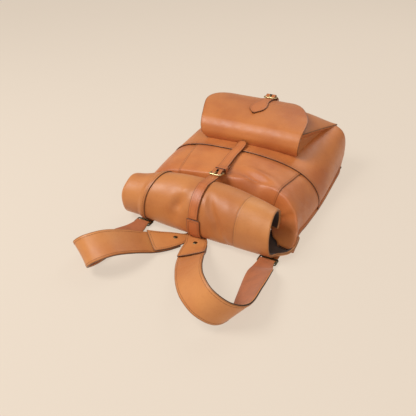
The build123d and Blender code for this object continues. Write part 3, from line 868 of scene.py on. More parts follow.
@dataclass
class BagBody:
    """The body's leather panels, cut from one filled-out bag shape."""

    sections: tuple[tuple[float, ...], ...] = (
        (-166.0, 167.0, 46.0, 3.0, 3.0),
        (-140.0, 164.0, 64.0, 2.9, 3.2),
        (-116.0, 158.0, 83.0, 2.8, 3.4),
        (-75.0, 160.0, 88.0, 3.0, 2.8),
        (-12.0, 162.5, 91.0, 3.3, 2.5),
        (110.0, 160.0, 99.0, 4.2, 4.2),
        (190.0, 157.0, 106.0, 5.0, 6.5),
    )
    ridge: tuple[tuple[float, ...], ...] = (
        (0.0, -166.0, -26.0, 2.0, 0.0, 5.0),
        (1.4, -160.0, -30.0, 3.0, -1.0, 5.0),
        (5.0, -151.0, -42.0, 4.0, -6.0, 5.0),
        (9.0, -138.0, -48.0, 6.0, -13.0, 5.0),
        (13.6, -130.0, -52.0, 8.0, -20.0, 6.0),
        (20.0, -121.0, -52.0, 8.0, -28.0, 7.0),
        (35.7, -114.0, -38.0, 2.0, -50.0, 8.0),
        (49.5, -106.0, -18.0, -8.0, -60.0, 8.0),
        (63.0, -99.0, -4.0, -16.0, -66.0, 9.0),
        (77.0, -96.0, 0.0, -25.0, -56.0, 12.0),
        (86.0, -104.0, 0.0, -16.0, -54.0, 10.0),
        (95.0, -112.0, 0.0, -8.0, -52.0, 6.0),
        (120.0, -116.0, 0.0, -5.0, -50.0, 6.0),
        (150.0, -116.0, 0.0, -4.0, -35.0, 5.0),
        (170.0, -117.0, 4.0, -3.0, -16.0, 4.0),
        (180.0, -118.0, 8.0, -3.0, -1.0, 3.0),
    )
    floor: float = 7.8           # top of the seam allowance that sticks out along the sides
    flange: float = 3.0
    tuck: float = 3.0            # how far the walls come in above the seam allowance
    left_seam: tuple[float, float] = (-104.0, -82.0)
    right_seam: tuple[float, float] = (120.0, 113.0)
    base_round: float = 13.0
    base_half: tuple[float, float] = (158.0, 48.0)
    base_middle: float = 52.0
    base_inset_limit: float = 44.0
    back_ends: tuple[float, float] = (-112.0, 182.0)
    dents: tuple[Dent, ...] = (
        Dent((66.0, -92.0), (30.0, 8.0), 8.0, -8.0),
        Dent((60.0, -74.0), (34.0, 9.0), -3.6, -10.0),
        Dent((20.0, -100.0), (16.0, 18.0), 2.0),
        Dent((95.0, -60.0), (26.0, 20.0), -1.5, -30.0),
        Dent((-60.0, -60.0), (40.0, 25.0), -1.5),
    )

    def point(self, angle: Array, y: Array) -> Array:
        """The outer surface at an angle round the bag and a place along it.

        Args:
            angle: Degrees round the front, 0 at the right seam and 180 at the left one; from
                0 to -1 and from 180 to 181 it runs out over the seam allowance.
            y: Places along the bag.

        Returns:
            The points in millimetres.
        """
        half, height, full_left, full_right = np.moveaxis(table_at(self.sections, y), -1, 0)
        turn = np.radians(np.clip(angle, 0.0, 180.0))
        full = np.where(angle < 90, full_right, full_left)
        side = np.sign(np.cos(turn))
        reach = np.abs(np.cos(turn)) ** (2 / full)
        rise = np.maximum(np.sin(turn), 0.0) ** (2 / full)
        z = self.floor + (height - self.floor) * rise
        tucked = self.tuck * np.clip(1 - (z - self.floor) / 18.0, 0, 1) ** 2
        out = (np.clip(-angle, 0, 1) + np.clip(angle - 180, 0, 1)) * (1 - 0.9 * soft_step(y, 150.0, 178.0))
        x = side * (half * reach - tucked + out * self.flange)
        surface = np.stack([x, y, z - 0.8 * out], axis=-1)
        fade = soft_step(z, 20.0, 60.0)
        sink = sum(dent.depth_at(x, y) for dent in self.dents) * fade
        surface[..., 2] += ripple(surface, 55.0, 1.1) * fade - sink
        return surface

    def seam_angle(self, x: Array, y: Array, side: int) -> Array:
        """The angle at which the surface has a given x, on the right (1) or the left (-1)."""
        half, _, full_left, full_right = np.moveaxis(table_at(self.sections, y), -1, 0)
        full = full_right if side > 0 else full_left
        turn = np.degrees(np.arccos(np.clip(np.abs(x) / half, 0, 1) ** (full / 2)))
        return turn if side > 0 else 180 - turn

    def upper_grid(self, low: Callable[[Array], Array], high: Callable[[Array], Array], columns: int,
                   flange: int = 0, rows: int = 34, fall: int = 14) -> Array:
        """A panel from the lap seam up to the mouth's ridge and down behind the roll.

        Args:
            low: The panel's lower angle for each place along it from 0 to 1.
            high: Its upper angle.
            columns: Points across it.
            flange: 1 or -1 to add a seam allowance at the right or left, or 0.
            rows: Rows up to the ridge.
            fall: Rows beyond it.

        Returns:
            The grid of the panel's outer face.
        """
        v = np.linspace(0, 1, rows)
        share = np.linspace(0, 1, columns)
        angle = low(v)[:, None] * (1 - share) + high(v)[:, None] * share
        brim = np.tile([-1.0, -0.55, -0.15], (rows, 1))
        if flange > 0:
            angle = np.concatenate([brim, angle], axis=1)
        if flange < 0:
            angle = np.concatenate([angle, 180 - brim[:, ::-1]], axis=1)
        ridge = table_at(self.ridge, np.clip(angle, 0, 180))
        start = LAP_Y + 6.0
        y = start + v[:, None] * (ridge[..., 0] - start)
        body = self.point(angle, y)
        body[..., 2] -= 1.8 * soft_step(y, LAP_Y - 12, LAP_Y - 2)
        top, last = body[-1], ridge[-1]
        ahead = top - body[-3]
        ahead /= np.maximum(np.linalg.norm(ahead, axis=1, keepdims=True), 1e-9)
        control = ahead * last[:, 4:5]
        w = np.linspace(0, 1, fall + 1)[1:, None, None]
        tail = top + 2 * w * (1 - w) * control + w**2 * last[:, 1:4]
        tail[..., 2] = np.maximum(tail[..., 2], self.floor)
        return np.concatenate([body, tail])

    def make_upper(self) -> None:
        """Make the two side gussets and the front panel that laps over them."""
        def seam(places: tuple[float, float], side: int, lap: float) -> Callable[[Array], Array]:
            """A side edge that follows one of the front panel's seams."""
            def angle(v: Array) -> Array:
                """The seam's angle at places along it from 0 to 1."""
                w = np.clip(np.linspace(0, 1, 241)[None] * 0.5 - 0.25 + v[:, None], 0, 1)
                y = LAP_Y + w * (-116.0 - LAP_Y)
                turn = self.seam_angle(places[0] + w * (places[1] - places[0]), y, side)
                return turn.mean(axis=1) + lap
            return angle

        def edge(value: float) -> Callable[[Array], Array]:
            """A side edge at one angle."""
            return lambda v: np.full_like(v, value)

        front = Sheet("upper_front_leather", self.upper_grid(
            seam(self.right_seam, 1, 0.0), seam(self.left_seam, -1, 0.0), 60), HIDE,
            Placing(BAG, "panel_leather", ("upper_front_panel",)),
            painted=frozenset({Side.FIRST_COLUMN, Side.LAST_COLUMN}), away_from=INSIDE_BAG)
        front.build()
        front.stitch((Side.FIRST_COLUMN, Side.LAST_COLUMN), 3.0, 4.2)
        for name, side, low, high in (
                ("right", 1, edge(0.0), seam(self.right_seam, 1, 2.5)),
                ("left", -1, seam(self.left_seam, -1, -2.5), edge(180.0))):
            grid = self.upper_grid(low, high, 34, flange=side)
            deep = soft_step(np.linspace(0, 1, grid.shape[1]), 0.80, 0.97)[::side]
            grid[..., 2] -= 1.7 * deep[None, :]
            Sheet(f"side_gusset_{name}_leather", grid, HIDE,
                  Placing(BAG, "panel_leather", (f"side_gusset_{name}",)), away_from=INSIDE_BAG).build()

    def make_lower(self) -> None:
        """Make the wrap, the base and the back."""
        angle = np.concatenate([[-1.0, -0.55, -0.15], np.linspace(0, 180, 110), [180.15, 180.55, 181.0]])
        end = 190.0 - self.base_round
        y = np.concatenate([[LAP_Y, LAP_Y + 1.0, LAP_Y + 2.5], np.linspace(LAP_Y + 6, end, 44)])
        wrap = self.point(*np.meshgrid(angle, y))
        lift = 1.1 - 0.8 * soft_step(y, LAP_Y, LAP_Y + 14)
        wrap += grid_normals(wrap) * lift[:, None, None]
        lower = Sheet("lower_wrap_leather", wrap, HIDE, Placing(BAG, "panel_leather", ("lower_wrap",)),
                      painted=frozenset({Side.FIRST_ROW}), away_from=INSIDE_BAG, edge_round=0.4)
        lower.build()
        lower.stitch((Side.FIRST_ROW,), 4.0, 4.2, 12.0)
        self.make_base(end)
        self.make_back(end)

    def make_base(self, end: float) -> None:
        """Make the base panel, rounded over into the wrap."""
        rim = self.point(np.linspace(0, 180, 70), np.full(70, end + 1.5))
        rim = np.concatenate([rim, [[-rim[0, 0], end + 1.5, 4.0]], [[rim[0, 0], end + 1.5, 4.0]]])
        rim = even(np.concatenate([rim, rim[:1]]), 150)
        centre = np.array([0.0, end, self.base_middle])
        rows = []
        for inset in (0.0, 0.8, 2.0, 3.8, 6.0, 9.0, 13.0, 22.0, 36.0, 60.0):
            shrink = 1 - np.array([inset / self.base_half[0], 0.0,
                                   min(inset, self.base_inset_limit) / self.base_half[1]])
            point = centre + (rim - centre) * shrink
            bulge = self.base_round * math.sqrt(1 - max(0.0, 1 - inset / self.base_round) ** 2)
            point[:, 1] = end + 1.5 + bulge - 1.5 + ripple(point, 50.0, 0.8)
            rows.append(point)
        rows.append(np.stack([rows[-1][:, 0] * 0.2, rows[-1][:, 1], self.base_middle + 0 * rows[-1][:, 2]],
                             axis=1))
        Sheet("base_leather", np.array(rows), HIDE, Placing(BAG, "back_leather", ("base_panel",)),
              away_from=INSIDE_BAG).build()

    def make_back(self, end: float) -> None:
        """Make the back panel with its seam allowances."""
        y = np.linspace(*self.back_ends, 40)
        half = table_at(self.sections, y)[:, 0] - self.tuck + self.flange * (1 - 0.9 * soft_step(y, 150.0,
                                                                                                 178.0))
        half -= 8.0 * soft_step(y, end - 4, 189.0)
        share = np.concatenate([np.linspace(-1, -0.9, 6), np.linspace(-0.88, 0.88, 36),
                                np.linspace(0.9, 1, 6)])
        x = half[:, None] * share[None, :]
        z = 3.2 * soft_step(np.abs(x), 84.0, 104.0)
        back = Sheet("back_leather_panel", np.stack([x, np.repeat(y[:, None], len(share), 1), z], axis=-1),
                     2.2,
                     Placing(BAG, "back_leather", ("back_panel",)),
                     painted=frozenset({Side.FIRST_COLUMN, Side.LAST_COLUMN}), away_from=INSIDE_BAG)
        back.build()

    def build(self) -> None:
        """Make every panel of the body."""
        self.make_upper()
        self.make_lower()


# ------------------------------------------------------------------ the rolled top
@dataclass
class RolledTop:
    """The rolled mouth: three sewn yoke panels round a hollow core."""

    near: float = -212.0
    bottom: float = 2.7
    radii: tuple[tuple[float, float], ...] = (
        (-158.0, 37.5), (-125.0, 40.0), (-103.0, 43.0), (-75.0, 45.0), (-48.0, 46.2), (-3.0, 46.5),
        (30.0, 46.0), (60.0, 44.7), (79.0, 43.3), (105.0, 41.0), (130.0, 38.6), (170.0, 37.6))
    left_seam: tuple[tuple[float, float], ...] = (
        (-60.0, -83.0), (60.0, -84.0), (100.0, -87.0), (150.0, -95.0), (200.0, -101.0), (250.0, -107.0),
        (280.0, -108.0))
    right_seam: tuple[tuple[float, float], ...] = (
        (-60.0, 83.0), (70.0, 82.0), (120.0, 78.0), (200.0, 75.0), (280.0, 74.0))
    fullness: tuple[tuple[float, float], ...] = (
        (-150.0, 2.0), (-110.0, 2.3), (-60.0, 3.2), (0.0, 3.8), (80.0, 3.5), (135.0, 2.8))
    rim: tuple[tuple[float, float], ...] = (
        (-60.0, 126.0), (0.0, 128.0), (60.0, 130.0), (100.0, 131.0), (150.0, 134.0), (190.0, 136.0),
        (220.0, 138.5), (238.0, 143.0), (250.0, 150.0), (261.0, 158.0), (270.0, 164.0), (280.0, 166.5),
        (300.0, 166.0), (320.0, 163.0))
    curl: float = -50.0
    yoke_curl: float = -24.0
    lining_left: float = -118.0
    lining_right: float = 84.0
    lining_reach: float = 26.0   # how much further right the lining runs behind the mouth
    cover_end: float = 236.0
    end_x: float = -157.0
    end_round: float = 12.0
    lip: float = 6.0
    lining_gap: float = 2.7
    dents: tuple[Dent, ...] = (
        Dent((-32.0, 160.0), (10.0, 20.0), 8.0, 12.0),
        Dent((-24.0, 125.0), (8.0, 14.0), -2.4, 12.0),
        Dent((0.0, 165.0), (14.0, 90.0), 0.6),
        Dent((40.0, 168.0), (46.0, 8.0), 6.4, 66.0),
        Dent((19.0, 140.0), (4.0, 26.0), -1.6, -6.0),
        Dent((62.0, 150.0), (9.0, 34.0), -1.2, -10.0),
        Dent((100.0, 150.0), (12.0, 30.0), 1.0),
        Dent((-75.0, 165.0), (14.0, 22.0), 1.2, 20.0),
    )

    def on(self, x: Array, degrees: Array, inset: Array | float = 0.0) -> Array:
        """Points on the roll at places along it and angles round it, some way under its skin."""
        radius = table_at(self.radii, x)[..., 0]
        dent = sum(d.depth_at(x, degrees) for d in self.dents)
        unit = boxed(degrees, table_at(self.fullness, x)[..., 0])
        reach = radius - inset - dent
        y = self.near + radius + reach * unit[..., 0]
        z = self.bottom + radius + reach * unit[..., 1]
        waves = ripple(np.stack([x, y, z], axis=-1), 38.0, 0.5) * soft_step(z, 12.0, 30.0)
        y = y + waves * unit[..., 0]
        z = z + waves * unit[..., 1]
        tail = np.clip(degrees - 270.0, 0, None)
        return np.stack([x, y + tail, np.where(tail > 0, self.bottom + inset, z)], axis=-1)

    def panel(self, low: Array, high: Array, degrees: Array, columns: int, inset: float = 0.0) -> Array:
        """A grid between two seams, with one row for each angle; past 270 it runs flat, a mm per degree."""
        share = np.linspace(0, 1, columns)
        x = low[:, None] * (1 - share) + high[:, None] * share
        return self.on(x, np.repeat(degrees[:, None], columns, axis=1), inset)

    def build(self) -> None:
        """Make the lining, the three yoke panels and their stitching."""
        self.make_lining()
        self.make_cover()
        self.make_right()
        self.make_left()

    def make_lining(self) -> None:
        """Make the doubled inner turn that runs out over the back panel."""
        degrees = np.concatenate([np.linspace(self.curl, 270, 80), np.linspace(274, 330, 14)])
        low, high = np.full(len(degrees),
                            self.lining_left), self.lining_right + self.lining_reach * soft_step(
            -degrees, -70.0, 0.0)
        Sheet("roll_lining", self.panel(low, high, degrees, 30, self.lining_gap), 2.2,
              Placing(BAG, "panel_leather", ("roll_yoke_centre",)), Finish.ROLL,
              away_from=(0.0, -164.0, 47.0)).build()

    def make_cover(self) -> None:
        """Make the centre yoke with its painted edges."""
        degrees = np.linspace(self.curl, self.cover_end, 90)
        low, high = (table_at(t, degrees)[:, 0] for t in (self.left_seam, self.right_seam))
        low = low - 8.0
        grid = self.panel(low, high, degrees, 64)
        cover = Sheet("roll_yoke_centre_leather", grid, 2.4,
                      Placing(BAG, "panel_leather", ("roll_yoke_centre",)),
                      Finish.ROLL, painted=frozenset({Side.LAST_ROW, Side.FIRST_ROW}),
                      away_from=(0.0, -164.0, 47.0), edge_round=0.5)
        cover.build()
        cover.stitch((Side.LAST_ROW,), 3.5, 4.2)

    def make_right(self) -> None:
        """Make the right yoke, open at its end, with a lip that turns up round the mouth."""
        degrees = np.concatenate([np.linspace(self.yoke_curl, 262, 86), np.linspace(264, 318, 26)])
        low, high = table_at(self.right_seam, np.minimum(degrees, 275))[:, 0] + 0.6, table_at(self.rim,
                                                                                              degrees)[:, 0]
        share = 1 - (1 - np.linspace(0, 1, 40)) ** 1.5
        x = low[:, None] * (1 - share) + high[:, None] * share
        grid = self.on(x, np.repeat(degrees[:, None], 40, axis=1))
        rise = np.clip(1 - (high[:, None] - x) / 17.0, 0, 1) ** 2 * self.lip
        grid[..., 2] += rise * soft_step(degrees, 225.0, 256.0)[:, None]
        Sheet("roll_yoke_right_leather", grid, 4.6, Placing(BAG, "panel_leather", ("roll_yoke_right",)),
              Finish.ROLL_END, painted=frozenset({Side.FIRST_COLUMN}), away_from=(110.0, -170.0, 40.0),
              edge_round=0.55).build()

    def make_left(self) -> None:
        """Make the left yoke, gathered shut into a rounded end."""
        degrees = np.linspace(-90, 270, 108)
        seam = table_at(self.left_seam, np.clip(degrees, -60, 275))[:, 0]
        shoulder = self.end_x + self.end_round
        columns = []
        for t in np.linspace(0.999, 0.0, 14):
            fold = (1 - t**2.6) ** (1 / 2.6)
            x = np.full(len(degrees), shoulder - self.end_round * t)
            pleats = 1 + 0.05 * t * np.sin(np.radians(degrees) * 5 + 0.6)
            columns.append((x, np.full(len(degrees), fold) * pleats))
        for share in np.linspace(0.06, 1, 20):
            columns.append((shoulder * (1 - share) + seam * share, np.ones(len(degrees))))
        grid = []
        for x, fold in columns:
            radius = table_at(self.radii, x)[:, 0]
            proud = 1.0 - 3.0 * soft_step(x - seam, -16.0, -7.0)
            grid.append(self.on(x, degrees, radius * (1 - fold) + proud))
        left = Sheet("roll_yoke_left_leather", np.stack(grid, axis=1), 2.2,
                     Placing(BAG, "panel_leather", ("roll_yoke_left",)), Finish.ROLL,
                     painted=frozenset({Side.LAST_COLUMN}), away_from=(-110.0, -168.0, 42.0), edge_round=0.45)
        left.build()
        left.stitch((Side.LAST_COLUMN,), 3.5, 4.2)


# ------------------------------------------------------------------ buckled fastenings
BAR = 1.5
FRAME_THICK = 2.8
CHAPE_THICK = 3.2
CHAPE_LENGTH = 34.0
PRONG_SLOT = 2.4
NARROW_HIDE = 2.2
TAIL_RISE = 0.35
GAP = 0.4
SNAP_RADIUS = 6.5


@dataclass(frozen=True)
class BuckleSite:
    """A strap buckle whose heel bar lies along X."""

    name: str
    width: float
    x: float
    y: float
    z: float
    rise: float
    fall: float
    reach: float                 # from the heel bar to the middle of the front bar
    keeper_y: float
    snap_y: float
    stud: float
    leather_body: str
    frame_body: str
    pin_body: str

    @property
    def inside(self) -> float:
        """Half of the clear width between the side bars."""
        return self.width / 2 + 0.9

    def turned(self, y: Array, z: Array, degrees: float) -> tuple[Array, Array]:
        """Turn places given about the heel bar so that their -Y side rises."""
        angle = math.radians(degrees)
        return (self.y + y * math.cos(angle) + z * math.sin(angle),
                self.z - y * math.sin(angle) + z * math.cos(angle))

    def place(self, points: Sequence[Sequence[float]] | Array, degrees: float) -> Array:
        """Move points from the buckle's own axes into the bag's."""
        points = np.asarray(points, float)
        y, z = self.turned(points[..., 1], points[..., 2], degrees)
        return np.stack([points[..., 0] + self.x, y, z], axis=-1)

    def threaded(self, tail: float) -> list[tuple[float, float]]:
        """The middle (y, z) of the strap from under the front bar, over the heel bar, to its tail."""
        half = NARROW_HIDE / 2
        flat = TAIL_RISE + half
        points = [self.turned(y, z, self.rise)
                  for y, z in ((-self.reach, -FRAME_THICK / 2 - 0.9 - half), (-self.reach / 2, 1.1))]
        points.append(self.turned(0.0, CHAPE_THICK + 0.45 + half, (self.rise + self.fall) / 2))
        points += [self.turned(y, z, self.fall) for y, z in ((6.0, 3.1), (11.0, flat), (17.0, flat),
                                                             (tail, flat))]
        return points

    def leather(self, *nodes: str) -> Placing:
        """Placing for the buckle's leather parts."""
        return Placing(self.leather_body, "fastening_leather", nodes)

    def build(self) -> None:
        """Make the frame, the prong, the chape, the keeper and the snap."""
        self.make_frame()
        self.make_prong()
        self.make_chape()
        self.make_keeper()
        self.make_snap()

    def make_frame(self) -> None:
        """Make the cast frame with rounded front corners and its heel bar."""
        out, reach, corner = self.inside + 1.4, self.reach, 3.4
        turn = np.radians(np.linspace(0, 90, 7))
        left = np.stack([-(out - corner) - corner * np.cos(turn),
                         -(reach - corner) - corner * np.sin(turn)], axis=1)
        right = left[::-1] * (-1, 1)
        flat = np.concatenate([[(-out, 1.2)], left, right, [(out, 1.2)]])
        path = even(np.column_stack([flat, np.zeros(len(flat))]), 60)
        frame_place = Placing(self.frame_body, "antique_brass", (f"{self.name}_buckle_frame",))
        tube(f"{self.name}_frame_ring", self.place(path, self.rise), 1.55, Finish.BRASS, frame_place,
             sides=16, flat=0.9)
        bar = np.stack([np.linspace(-out, out, 12), np.zeros(12), np.zeros(12)], axis=1)
        tube(f"{self.name}_frame_heel_bar", self.place(bar, self.rise), BAR, Finish.BRASS,
             Placing(self.frame_body, "antique_brass"))

    def make_prong(self) -> None:
        """Make the prong: a wire wrapped round the heel bar that rests on the front bar."""
        wrap = np.radians(np.linspace(-150, 118, 20))
        loop = np.stack([np.zeros(20), 2.3 * np.cos(wrap), 2.3 * np.sin(wrap)], axis=1)
        shank = smooth_line([(0, -1.9, 1.7), (0, -self.reach * 0.5, 2.75), (0, -self.reach, 3.0),
                             (0, -self.reach - 2.3, 2.5)], 20)
        path = even(np.concatenate([loop, shank]), 44)
        radii = np.interp(np.linspace(0, 1, 44), (0.0, 0.42, 0.55, 0.93, 1.0), (0.72, 0.75, 1.25, 1.1, 0.55))
        tube(f"{self.name}_prong_wire", self.place(path, self.rise), radii, Finish.BRASS,
             Placing(self.pin_body, "antique_brass", (f"{self.name}_buckle_prong",)), flat=0.8)

    def make_chape(self) -> None:
        """Make the folded chape, with a slot for the prong."""
        length, half = CHAPE_LENGTH, self.width / 2
        bend = np.radians(np.linspace(-90, -262, 14))
        wrap = np.stack([3.15 * np.cos(bend), 3.15 * np.sin(bend)], axis=1)
        line = np.concatenate([
            np.stack([np.linspace(length, 1.0, 16), np.full(16, -CHAPE_THICK)], axis=1), wrap,
            [(2.2, 1.9), (4.2, 0.45)], np.stack([np.linspace(6.4, length, 14), np.zeros(14)], axis=1)])
        columns = np.concatenate([np.linspace(-half, -PRONG_SLOT, 6), np.linspace(PRONG_SLOT, half, 6)])
        grid = np.stack(np.broadcast_arrays(columns[None, :], line[:, :1], line[:, 1:]), axis=-1)
        Sheet(f"{self.name}_chape_leather", self.place(grid, self.fall), 1.5,
              self.leather(f"{self.name}_chape"), Finish.FASTENING, Finish.STRAP_BACK, painted=ALL_SIDES,
              cut=(14, 33, 5, 6), away_from=tuple(self.place((0, 6.0, -1.6), self.fall))).build()

    def make_keeper(self) -> None:
        """Make the keeper loop round the strap and the chape."""
        middle, wall = self.keeper_y, 1.8
        wide, low, high = self.width / 2 + GAP, -CHAPE_THICK - 0.2, TAIL_RISE + NARROW_HIDE + 0.5
        out, top, bottom, bend = wide + wall, high + wall, low - wall, 1.9
        turn = np.radians(np.linspace(0, 90, 6))
        corners = []
        for x, z, start in ((1, -1, -90), (1, 1, 0), (-1, 1, 90), (-1, -1, 180)):
            centre = (x * (out - bend), (top if z > 0 else bottom) - z * bend)
            angle = turn + math.radians(start)
            corners.append(np.stack([centre[0] + bend * np.cos(angle), centre[1] + bend * np.sin(angle)],
                                    axis=1))
        ring = even(np.concatenate([[(0.0, bottom)], *corners, [(-0.05, bottom)]]), 72)
        depth = np.linspace(-5, 5, 5)
        grid = np.stack(np.broadcast_arrays(ring[:, None, 0], (middle + depth)[None, :], ring[:, None, 1]),
                        axis=-1)
        Sheet(f"{self.name}_keeper_loop", self.place(grid, self.fall), wall - 0.1,
              self.leather(f"{self.name}_keeper"), Finish.FASTENING, Finish.STRAP_BACK,
              painted=frozenset({Side.FIRST_COLUMN, Side.LAST_COLUMN}),
              away_from=tuple(self.place((0, middle, 0), self.fall))).build()

    def make_snap(self) -> None:
        """Make the snap's cap under the chape and the stud that it presses onto."""
        def put(points: Array) -> Array:
            """Move a turned part's points to the snap."""
            return self.place(points, self.fall)

        base = -CHAPE_THICK
        cap = [(0, base - 1.8), (2.6, base - 1.8), (3.4, base - 1.1), (5.6, base - 1.5),
               (SNAP_RADIUS, base - 0.8),
               (SNAP_RADIUS, base - 0.1), (0, base - 0.1)]
        top = base - 1.8 - GAP
        stud = [(0, top - self.stud), (SNAP_RADIUS - 1.5, top - self.stud), (SNAP_RADIUS - 1.5, top - 1.2),
                (SNAP_RADIUS, top - 1.0), (SNAP_RADIUS, top - 0.4), (3.0, top - 0.1), (0, top)]
        for part, profile, body in (("cap", cap, self.leather_body), ("stud", stud, BAG)):
            vertices, faces = turned_part(profile, lambda p: put(p + np.array((0, self.snap_y, 0))))
            add_piece(f"{self.name}_snap_{part}_metal", vertices, faces, [0] * len(faces), (Finish.BLACKED,),
                      Placing(body, "dark_rivet_metal", (f"{self.name}_snap_{part}",)))


CLOSURE = BuckleSite("closure", 17.0, 0.0, -118.0, 92.9, 12.0, 0.0, 15.0, 15.0, 27.2, 3.5,
                     "closure_tail", "closure_frame", "closure_pin")
POCKET = BuckleSite("pocket", 20.0, -12.0, 158.0, 146.2, 9.0, 38.0, 11.6, 14.4, 27.0, 14.0,
                    "flap", "flap_frame", "flap_pin")


def strap_sheet(name: str, line: Array, width: Array, x: float, placing: Placing, cut_y: tuple[float, float],
                painted: frozenset[Side], sway: Sequence[tuple[float, float]] = ((0.0, 0.0),
                                                                                 (1.0, 0.0))) -> Sheet:
    """A narrow strap along a (y, z) line, with a slot for a prong.

    Args:
        name: The strap's name.
        line: Its middle (y, z) points.
        width: Its width at each point.
        x: Where its middle lies.
        placing: Where it rides.
        cut_y: The y range of the slot.
        painted: The sides with painted edges.
        sway: Pairs of y and how far the strap has moved along X there.

    Returns:
        The strap's sheet, ready to build.
    """
    along = np.gradient(line, axis=0)
    along /= np.linalg.norm(along, axis=1, keepdims=True)
    outer = line + np.stack([-along[:, 1], along[:, 0]], axis=1) * NARROW_HIDE / 2
    narrow = 2 * PRONG_SLOT / width[:, None]
    share = np.linspace(0, 1, 6)
    spread = np.concatenate([-1 + (1 - narrow) * share, narrow + (1 - narrow) * share], axis=1)
    shift = table_at(sway, line[:, 0])
    x_at = x + spread * width[:, None] / 2 + shift
    grid = np.stack(np.broadcast_arrays(x_at, outer[:, :1], outer[:, 1:]), axis=-1)
    inside = np.nonzero((line[:, 0] > cut_y[0]) & (line[:, 0] < cut_y[1]))[0]
    return Sheet(name, grid, NARROW_HIDE, placing, Finish.FASTENING, Finish.STRAP_BACK, painted, flip=True,
                 cut=(int(inside[0]), int(inside[-1]), 5, 6))


@dataclass
class ClosureFastening:
    """The strap that holds the roll shut: anchor patch, strap and buckle."""

    site: BuckleSite = CLOSURE
    roll_centre: tuple[float, float] = (-165.5, 49.2)
    strap_radius: float = 48.0
    tip: tuple[float, float] = (11.0, 100.5)
    sway: tuple[tuple[float, float], ...] = ((-215.0, 1.0), (-118.0, 0.0), (-90.0, -2.0), (-40.0, -7.5),
                                             (11.0, -9.0))
    patch_half: float = 11.8

    def on_roll(self, radius: float, degrees: Array) -> Array:
        """(y, z) points round the roll at a radius, fuller at its lower front."""
        reach = boxed(np.asarray(degrees, float), 3.8)
        return np.stack([self.roll_centre[0] + radius * reach[..., 0],
                         self.roll_centre[1] + radius * reach[..., 1]],
                        axis=-1)

    def build(self) -> None:
        """Make the whole fastening."""
        site = self.site
        site.build()
        points = self.on_roll(self.strap_radius, (180, 170, 160, 149, 138, 127, 116, 106, 96)).tolist()
        points += site.threaded(26.0) + [(site.y + 75, site.z + 2.2), (site.y + 108, site.z + 2.6), self.tip]
        line = smooth_line(points, 150)
        from_tip = np.maximum(self.tip[0] - line[:, 0], 0.05)
        half = site.width / 2
        rounded = np.sqrt(np.maximum(half**2 - np.maximum(half - from_tip, 0) ** 2, 4.0))
        width = 2 * np.where((from_tip < half) & (line[:, 0] > -60), rounded, half)
        strap = strap_sheet("closure_strap_leather", line, width, site.x,
                            Placing("closure_tail", "fastening_leather", ("closure_strap",)),
                            (site.y - site.reach + 1.5, site.y + 3.4), ALL_SIDES, self.sway)
        strap.build()
        self.make_anchor()

    def make_anchor(self) -> None:
        """Make the patch sewn to the roll that the strap starts from."""
        line = self.on_roll(46.55 + NARROW_HIDE, 180.3 + 71.7 * np.linspace(0, 1, 60) ** 1.6)
        x = np.linspace(-self.patch_half, self.patch_half, 9) + self.site.x + 1.0
        grid = np.stack(np.broadcast_arrays(x[None, :], line[:, :1], line[:, 1:]), axis=-1)
        patch = Sheet("closure_patch_leather", grid, NARROW_HIDE,
                      Placing(BAG, "fastening_leather", ("closure_anchor_patch",)), Finish.FASTENING,
                      painted=frozenset({Side.FIRST_ROW, Side.FIRST_COLUMN, Side.LAST_COLUMN}),
                      away_from=(self.site.x, *self.roll_centre), edge_round=0.45)
        patch.build()
        patch.stitch((Side.FIRST_COLUMN, Side.LAST_COLUMN, Side.FIRST_ROW), 2.6, 3.2)


